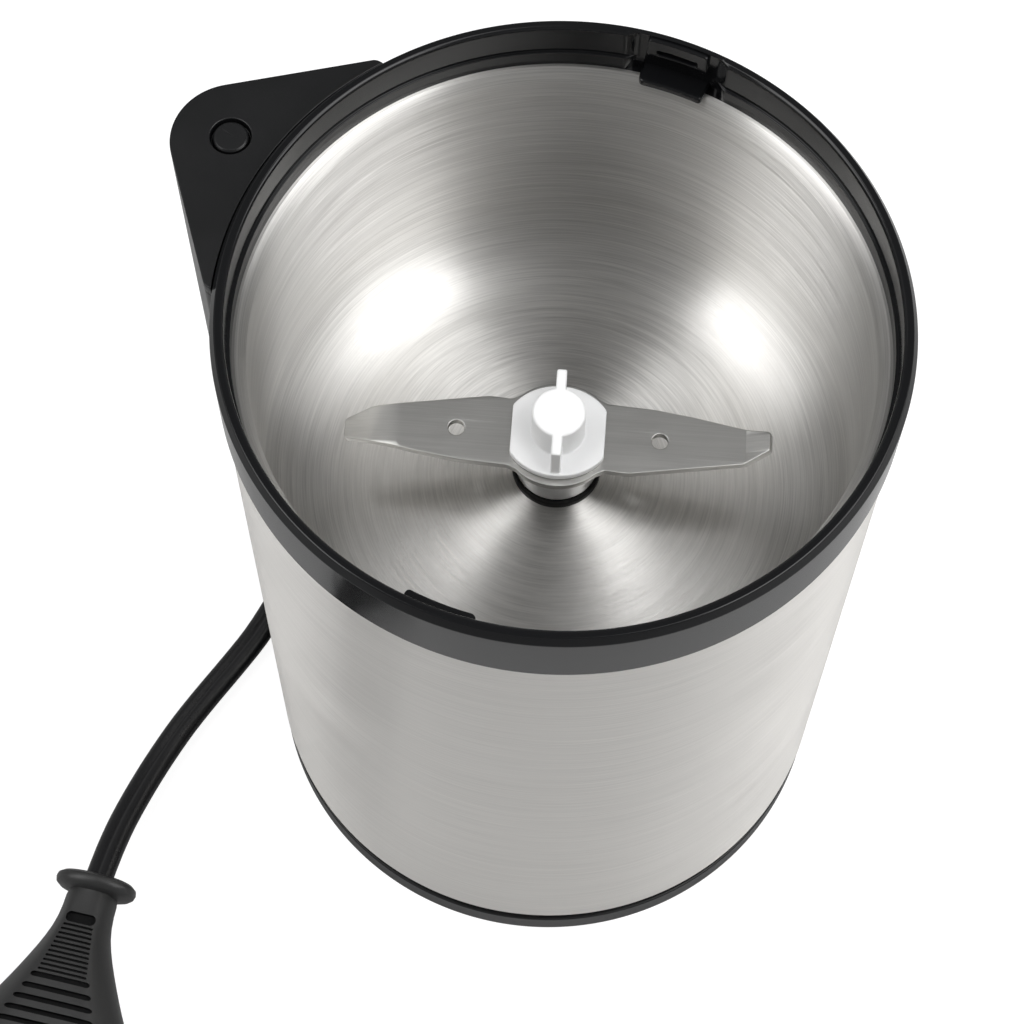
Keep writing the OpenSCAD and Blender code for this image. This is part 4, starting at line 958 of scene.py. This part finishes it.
def make_base():
    """The base with its screw pillars, screw holes and air slots, its foot ring and its screws"""
    outline = soften([(0, 1.0), (37.3, 1.0), (37.3, 1.8), (43.5, 1.8), (43.5, 1.0), (46.9, 1.0, 0.5),
        (47.4, 1.6, 0.5), (47.4, 6.4, 0.35), (46.0, 6.4), (46.0, 9.2), (44.7, 9.2), (44.7, 14.0, 0.3),
        (43.1, 14.0, 0.3), (43.1, 3.5), (0, 3.5)], 0.1)
    base = lathe("base_shell", outline, 240)
    rounds, rows = circle_tree(), row_tree()
    black, zinc = finish_of("black_base"), finish_of("zinc_screw")
    start = radians(30)

    def around(shape, material):
        made = rounds.make("copies", Shape=shape, Count=3, Radius=38.5 * MM, Start_angle=start,
            Material=material)
        discard(shape)
        return made

    pillar = soften([(0, 1.2), (3.6, 1.2), (3.6, 14.0), (0, 14.0)], 0.2)
    cut(base, [around(lathe("pillar", pillar, 40), black)], "UNION")
    hole = [(0, 0.5), (3.2, 0.5), (3.2, 4.2), (1.7, 4.2), (1.7, 15.0), (0, 15.0)]
    holes = around(lathe("hole", hole, 40), black)
    bar = plate("slot", [soften(box_outline(2, 28), 0.95, 5)], 0.0, 5.0, 0.05, 1)
    slots = rows.make("slots", Shape=bar, Count=7, Pitch=5 * MM, Rise=0.0, Start=Vector((-15, 0, 0)) * MM,
        First_length=1.0, Last_length=1.0, Material=black)
    discard(bar)
    exit_slot = plate("exit", [soften(box_outline(8.2, 8, (0, 45.7)), 0.2, 3)], 2.3, 8.3, 0.05, 1)
    cut(base, [holes, slots, exit_slot])
    tidy(base, 36)
    foot = lathe("foot", soften([(37.4, 0.0), (43.4, 0.0), (43.4, 1.8), (37.4, 1.8)], 0.45), 240)
    cut(foot, [around(lathe("hole", [(0, -1), (3.2, -1), (3.2, 3), (0, 3)], 40), black)])
    tidy(foot, 36)
    screw = lathe("screw", soften([(0, 2.0), (2.5, 2.0, 0.4), (2.9, 2.9, 0.6), (2.9, 4.2), (1.5, 4.2),
        (1.5, 31.2), (0, 32.2)], 0.1), 40)
    cross = [plate("cross", [box_outline(*size)], 1.5, 3.2, 0.1, 1) for size in ((3.2, 0.7), (0.7, 3.2))]
    cut(screw, cross)
    screws = around(screw, zinc)
    screws.name = "base_fasteners"
    tidy(screws, 36)
    base.name, foot.name = "base_shell", "foot_band"
    return base, foot, screws


# ---- switch housing

def make_plunger():
    """The button that the lid presses, with a faint scored line on its head"""
    outline = soften([(0, 110.65), (1.5, 110.65), (1.5, 124.45), (4.2, 124.45, 0.2), (4.2, 125.95, 0.2),
        (2.5, 125.95), (2.5, 136.3, 0.1), (2.25, 136.55, 0.1), (2.05, 136.55, 0), (0, 136.55)], 0.12, 4)
    piece = lathe("start_plunger", outline, 72)
    score = plate("score", [box_outline(2.9, 0.09, (-0.3, 0.25))], 136.52, 137.0, 0.02, 1)
    place(score, Matrix.Rotation(radians(-5), 4, "Z"))
    cut(piece, [score])
    tidy(piece, 34)
    return place(piece, Matrix.Translation((TOWER_PLUNGER_X, 0, 0)))


def make_plunger_spring():
    """The coil spring under the plunger's collar, with flat end turns"""
    turns, mid, wire, steps, flat = 5, 3.2, 0.25, 40, 0.8
    route = []
    for k in range(turns * steps + 1):
        t = clamped((k / steps - flat) / (turns - 2 * flat))
        a = 2 * pi * k / steps
        route.append(Vector((mid * cos(a), mid * sin(a), SPRING_FOOT + wire
            + (SPRING_LENGTH - 2 * wire) * t)))
    rings = []
    for here, ahead in zip(route, headings(route)):
        out = Vector((here.x, here.y, 0)).normalized()
        up = ahead.cross(out)
        rings.append([here + (out * cos(b) + up * sin(b)) * wire
            for b in [2 * pi * j / 12 for j in range(12)]])
    return place(skin("return_spring", rings, 40), Matrix.Translation((TOWER_PLUNGER_X, 0, 0)))


# ---- hub and blade

def make_seal():
    outline = soften([(4.05, 87.0), (7.3, 87.0), (7.3, 88.0), (5.8, 88.2), (5.8, 89.17),
        (6.75, 89.17, 0.15), (6.75, 90.57, 0.5), (5.9, 90.57, 0.2), (4.05, 90.3, 0.1)], 0.1, 4)
    return lathe("shaft_gasket", outline, 120)


def make_collar():
    outline = soften([(4.02, 90.87), (6.3, 90.87, 0.35), (6.3, 97.9, 0.1), (4.02, 97.9)], 0.1, 4)
    return lathe("hub_collar", outline, 120)


def make_hub_base(sizes):
    low = (sizes.blade_top - sizes.blade_thickness) / MM - 1.5
    disc = lathe("disc", soften([(SHAFT_BORE, low), (6.8, low, 0.2), (6.8, low + 1.5, 0.1),
        (SHAFT_BORE, low + 1.5)], 0.05, 3), 96)
    nub = plate("nub", [soften(box_outline(15.4, 2.4), 0.3, 3)], low, low + 1.5, 0.15, 2)
    place(nub, Matrix.Rotation(BLADE_DIR + pi / 2, 4, "Z"))
    hole = [(0, low - 1), (SHAFT_BORE, low - 1), (SHAFT_BORE, low + 3), (0, low + 3)]
    cut(nub, [lathe("hole", hole, 48)])
    return joined("hub_lower", [disc, nub])


def blade_outline(sizes):
    """The blade's edge in its own frame, from the hub to the tips"""
    end = sizes.blade_length / MM / 2
    half = [(7.2, 5.6, 1.5), (14.4, 5.2, 6.0), (20.0, 4.4, 4.0), (end - 3.8, 2.9, 2.0), (end, 2.2, 0.7),
        (end, -0.9, 0.5), (end - 4, -2.8, 4.0), (10.6, -5.7, 3.0), (7.2, -5.45, 1.5)]
    bulge = [(8.5 * cos(a), 8.5 * sin(a), 0) for a in [radians(-46 - 88 * k / 12) for k in range(13)]]
    first = half + bulge
    return soften(first + [(-p[0], -p[1], p[2]) for p in first], 0.5, 5)


def make_blade(sizes):
    end = sizes.blade_length / MM / 2
    high = sizes.blade_top / MM
    low = high - sizes.blade_thickness / MM
    middle = (low + high) / 2
    holes = [circle(SHAFT_BORE, steps=48)]
    holes += [circle(sizes.hole_radius / MM, (s * sizes.hole_gap / MM / 2, 0)) for s in (-1, 1)]
    blade = plate("blade_bar", [blade_outline(sizes)] + holes, low, high, 0.2, 2, 18)
    crisp, soft = end - 4.0, end - 8.6
    loops = [crisp] + [-soft - 0.5 * k for k in range(12)]
    sliced(blade, loops)

    def bend(p):
        x, z = p.x, p.z - middle
        if x > crisp + 0.001:
            turn, run = radians(22), x - crisp
            x, z = (crisp + run * cos(turn) - z * sin(turn), run * sin(turn) + z * cos(turn))
        elif x < -soft:
            span, total = 5.5, radians(15)
            run = -x - soft
            turned = total * min(1.0, run / span)
            radius = span / total
            along = radius * sin(turned) + max(0.0, run - span) * cos(total)
            drop = radius * (1 - cos(turned)) + max(0.0, run - span) * sin(total)
            x, z = -soft - along - z * sin(turned), -drop + z * cos(turned)
        return x, p.y, z + middle

    reshaped(blade, bend, 18)
    return place(blade, Matrix.Rotation(BLADE_DIR, 4, "Z"))


def make_hub_cap(sizes):
    low, r = sizes.blade_top / MM, sizes.cap_radius / MM
    disc_top = low + 1.3
    top = disc_top + sizes.boss_height / MM
    flat = r - 0.3
    edge = [(max(-flat, min(flat, x * 1.12)), y * 1.02) for x, y in circle(r, steps=128)]
    disc = plate("disc", [edge], low, disc_top, 0.12, 2)
    boss = lathe("boss", soften([(0, low + 0.2), (sizes.boss_radius / MM, low + 0.2),
        (sizes.boss_radius / MM, top, 0.45), (0, top)], 0.1, 5), 96)
    fin = plate("fin", [soften(box_outline(1.5, 2 * r - 0.5), 0.25, 3)], low + 0.2, top, 0.25, 3)
    cap = moulded("hub_cap_shell", [disc, boss, fin], 0.11, 5)
    bore = [(0, low - 1), (SHAFT_BORE, low - 1), (SHAFT_BORE, top - 1.8), (0, top - 1.8)]
    cut(cap, [lathe("bore", bore, 64)])
    cap.data.shade_smooth()
    cap.data.set_sharp_from_angle(angle=radians(50))
    return place(cap, Matrix.Rotation(BLADE_DIR, 4, "Z"))


# ---- stage

def studio_direction(right, near):
    """A direction upwards, tilted to the camera's right and towards its side of the room"""
    flat = Vector((0.85, 0.5267, 0)) * right + Vector((0.5267, -0.85, 0)) * near
    return flat + Vector((0, 0, sqrt(1 - right * right - near * near)))


def softbox(name, right, near, turn, width, depth, radiance):
    """A rectangular lamp that faces the grinder, turned by degrees from the camera's side"""
    lamp = bpy.data.lights.new(name, "AREA")
    lamp.shape, lamp.size, lamp.size_y = "RECTANGLE", width, depth
    lamp.energy = radiance * pi * width * depth
    holder = link(name, lamp)
    back = studio_direction(right, near)
    turn, level = radians(turn), 0.999
    along = studio_direction(sin(turn) * level, cos(turn) * level)
    side = along.cross(back).normalized()
    axes = Matrix((side, back.cross(side), back)).transposed().to_4x4()
    holder.matrix_world = Matrix.Translation(back * LAMP_DISTANCE + Vector((0, 0, 0.1))) @ axes


def paint_floor(floor, tint):
    """White to the camera, with the faint shadow of the grinder, and a plain pale colour to all else"""
    material = bpy.data.materials.new("floor_paint")
    graph = Graph(material)
    seen = graph.add("LightPath", output="Is Camera Ray")
    cloud = graph.add("TexNoise", {"Scale": 3.0, "Detail": 2.0}, "Fac")
    bounce = graph.add("BsdfDiffuse", {"Color": graph.mix(tuple(c * 0.985 for c in tint), tint, cloud)})
    faint = graph.add("BsdfDiffuse", {"Color": (0.2, 0.2, 0.2, 1.0)})
    glow = graph.add("Emission", {"Color": (0.92, 0.92, 0.92, 1.0), "Strength": 1.0})
    shown = graph.add("AddShader", {0: glow, 1: faint})
    graph.add("OutputMaterial", {0: graph.add("MixShader", {0: seen, 1: bounce, 2: shown})})
    floor.data.materials.append(material)


def make_studio():
    """A world that is white to the camera, and a room that darkens upwards to all else"""
    world = bpy.data.worlds.new("studio")
    sky = Graph(world)
    up = sky.add("SeparateXYZ", {0: sky.add("TexCoord", output="Generated")}, 2)
    room = sky.add("ValToRGB", {0: up * 0.5 + 0.5}, stops=[(0.0, 0.6), (0.5, 0.6), (0.75, 0.32),
        (1.0, 0.19)])
    dim = sky.add("Background", {"Color": room, "Strength": 1.0})
    white = sky.add("Background", {"Color": (1.0, 1.0, 1.0, 1.0), "Strength": 1.0})
    seen = sky.add("LightPath", output="Is Camera Ray")
    sky.add("OutputWorld", {0: sky.add("MixShader", {0: seen, 1: dim, 2: white})})
    return world


# ---- operators

class StageOperator(Operator):
    """Makes the floor, the lights and the camera"""
    bl_idname = "grinder.stage"
    bl_label = "Floor, lights and camera"

    def execute(self, context):
        scene, stage = context.scene, context.scene.grinder_stage
        half = stage.floor_size / 2
        mesh = bpy.data.meshes.new("floor")
        mesh.from_pydata([(-half, -half, 0), (half, -half, 0), (half, half, 0), (-half, half, 0)], [],
            [(0, 1, 2, 3)])
        floor = link("floor", mesh)
        paint_floor(floor, tuple(stage.floor_colour))
        scene.world = make_studio()
        for name, (*where, share) in LAMPS.items():
            softbox(name, *where, stage.key_light * share)

        data = bpy.data.cameras.new("camera")
        data.lens, data.sensor_width, data.sensor_fit = stage.lens, 36.0, "HORIZONTAL"
        data.clip_start, data.clip_end = 0.01, 20.0
        camera = link("camera", data)
        turn = Matrix(CAMERA_AXES).transposed().to_4x4()
        camera.matrix_world = Matrix.Translation(CAMERA_PLACE) @ turn
        scene.camera = camera
        scene.view_settings.view_transform = "Standard"
        return {"FINISHED"}


class MainsCordOperator(Operator):
    """Makes the mains cord with its coil, strap and strain relief"""
    bl_idname = "grinder.mains_cord"
    bl_label = "Mains cord and plug"

    def execute(self, context):
        sizes = context.scene.grinder_cord
        cord, route = make_cord(sizes)
        adopt(cord, "housing", "cord_black", "cord_to_coil", "cord_coil", "cord_run")
        relief = adopt(make_strain_relief(), "housing", "cord_black", "cord_boot")
        strap = adopt(make_coil_tie(), "housing", "black_satin", "coil_tie")
        body, pins, sleeves = make_plug(sizes)
        # The plug's grooves and window get painted shade
        paint_groove_shade(adopt(body, "housing", "plug_black", "plug_body"))
        adopt(pins, "housing", "pin_metal", "plug_pins")
        adopt(sleeves, "housing", "plug_black", "pin_sleeves")
        [tuple(p) for p in route]
        return {"FINISHED"}


class SteelBodyOperator(Operator):
    """Makes the steel shell, the lid ring and the bowl"""
    bl_idname = "grinder.steel_body"
    bl_label = "Shell, ring and bowl"

    def execute(self, context):
        sizes = context.scene.grinder_body
        adopt(make_shell(sizes), "housing", "steel_shell", "outer_shell")
        adopt(make_ring(sizes), "housing", "black_gloss", "top_ring")
        adopt(lathe("spice_bowl", bowl_outline(sizes), 360), "housing", "steel_bowl", "grinding_bowl")
        return {"FINISHED"}


class BaseOperator(Operator):
    """Makes the base, its foot ring and its screws"""
    bl_idname = "grinder.base"
    bl_label = "Base"

    def execute(self, context):
        base, foot, screws = make_base()
        adopt(base, "housing", "black_base", "base_cover")
        adopt(foot, "housing", "rubber", "foot_ring")
        adopt(screws, "housing", "zinc_screw", "base_screws")
        return {"FINISHED"}


class SwitchHousingOperator(Operator):
    """Makes the switch housing, its cover, the plunger and its spring"""
    bl_idname = "grinder.switch_housing"
    bl_label = "Switch housing"

    def execute(self, context):
        adopt(refined("switch_tower", "side_housing", 0.35), "housing", "black_satin", "side_housing")
        adopt(refined("tower_lid", "side_housing_cover", 0.3), "housing", "black_satin",
            "side_housing_cover")
        adopt(make_plunger(), "plunger", "black_satin", "push_plunger")
        spring = adopt(make_plunger_spring(), "housing", "spring_steel", "plunger_spring")
        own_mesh(spring)
        return {"FINISHED"}


class HubOperator(Operator):
    """Makes the seal, the collar, the blade and the two halves of the hub"""
    bl_idname = "grinder.hub"
    bl_label = "Hub and blade"

    def execute(self, context):
        sizes = context.scene.grinder_blade
        adopt(make_seal(), "housing", "seal_rubber", "shaft_seal")
        adopt(make_collar(), "rotor", "shaft_steel", "shaft_collar")
        adopt(make_hub_base(sizes), "rotor", "white_plastic", "hub_base")
        adopt(make_blade(sizes), "rotor", "blade_steel", "blade")
        adopt(make_hub_cap(sizes), "rotor", "white_plastic", "hub_cap")
        return {"FINISHED"}


class InnerPartsOperator(Operator):
    """Gives every frame node that stays its procedural finish"""
    bl_idname = "grinder.inner_parts"
    bl_label = "Inner parts"

    def execute(self, context):
        for row in frame["record"]["subparts"]:
            node = frame["nodes"][row["node"]]
            material = finish_of(row["material_slot"])
            if node.material_slots:
                for slot in node.material_slots:
                    slot.material = material
            else:
                node.data.materials.append(material)
        return {"FINISHED"}


class GrinderPanel(Panel):
    """Lists the sizes, the colours and the steps"""
    bl_idname = "VIEW3D_PT_grinder"
    bl_label = "Electric spice grinder"
    bl_space_type = "VIEW_3D"
    bl_region_type = "UI"
    bl_category = "Grinder"

    def draw(self, context):
        for step in STEPS:
            self.layout.operator(step.bl_idname)
        for name in SETTINGS:
            box = self.layout.box()
            group = getattr(context.scene, name)
            for prop in group.__annotations__:
                box.prop(group, prop)


SETTINGS = {"grinder_body": BodySettings, "grinder_blade": BladeSettings, "grinder_cord": CordSettings,
    "grinder_finish": FinishSettings, "grinder_stage": StageSettings}
STEPS = (StageOperator, MainsCordOperator, SteelBodyOperator, BaseOperator, SwitchHousingOperator,
    HubOperator, InnerPartsOperator)


def register():
    for group in (*SETTINGS.values(), *STEPS, GrinderPanel):
        bpy.utils.register_class(group)
    for name, group in SETTINGS.items():
        setattr(bpy.types.Scene, name, PointerProperty(type=group))


def unregister():
    for name in SETTINGS:
        delattr(bpy.types.Scene, name)
    for group in (GrinderPanel, *reversed(STEPS), *reversed(list(SETTINGS.values()))):
        bpy.utils.unregister_class(group)


def main():
    register()
    bpy.ops.grinder.stage()
    bpy.ops.grinder.mains_cord()
    bpy.ops.grinder.steel_body()
    bpy.ops.grinder.base()
    bpy.ops.grinder.switch_housing()
    bpy.ops.grinder.hub()
    bpy.ops.grinder.inner_parts()


if __name__ == "__main__":
    main()
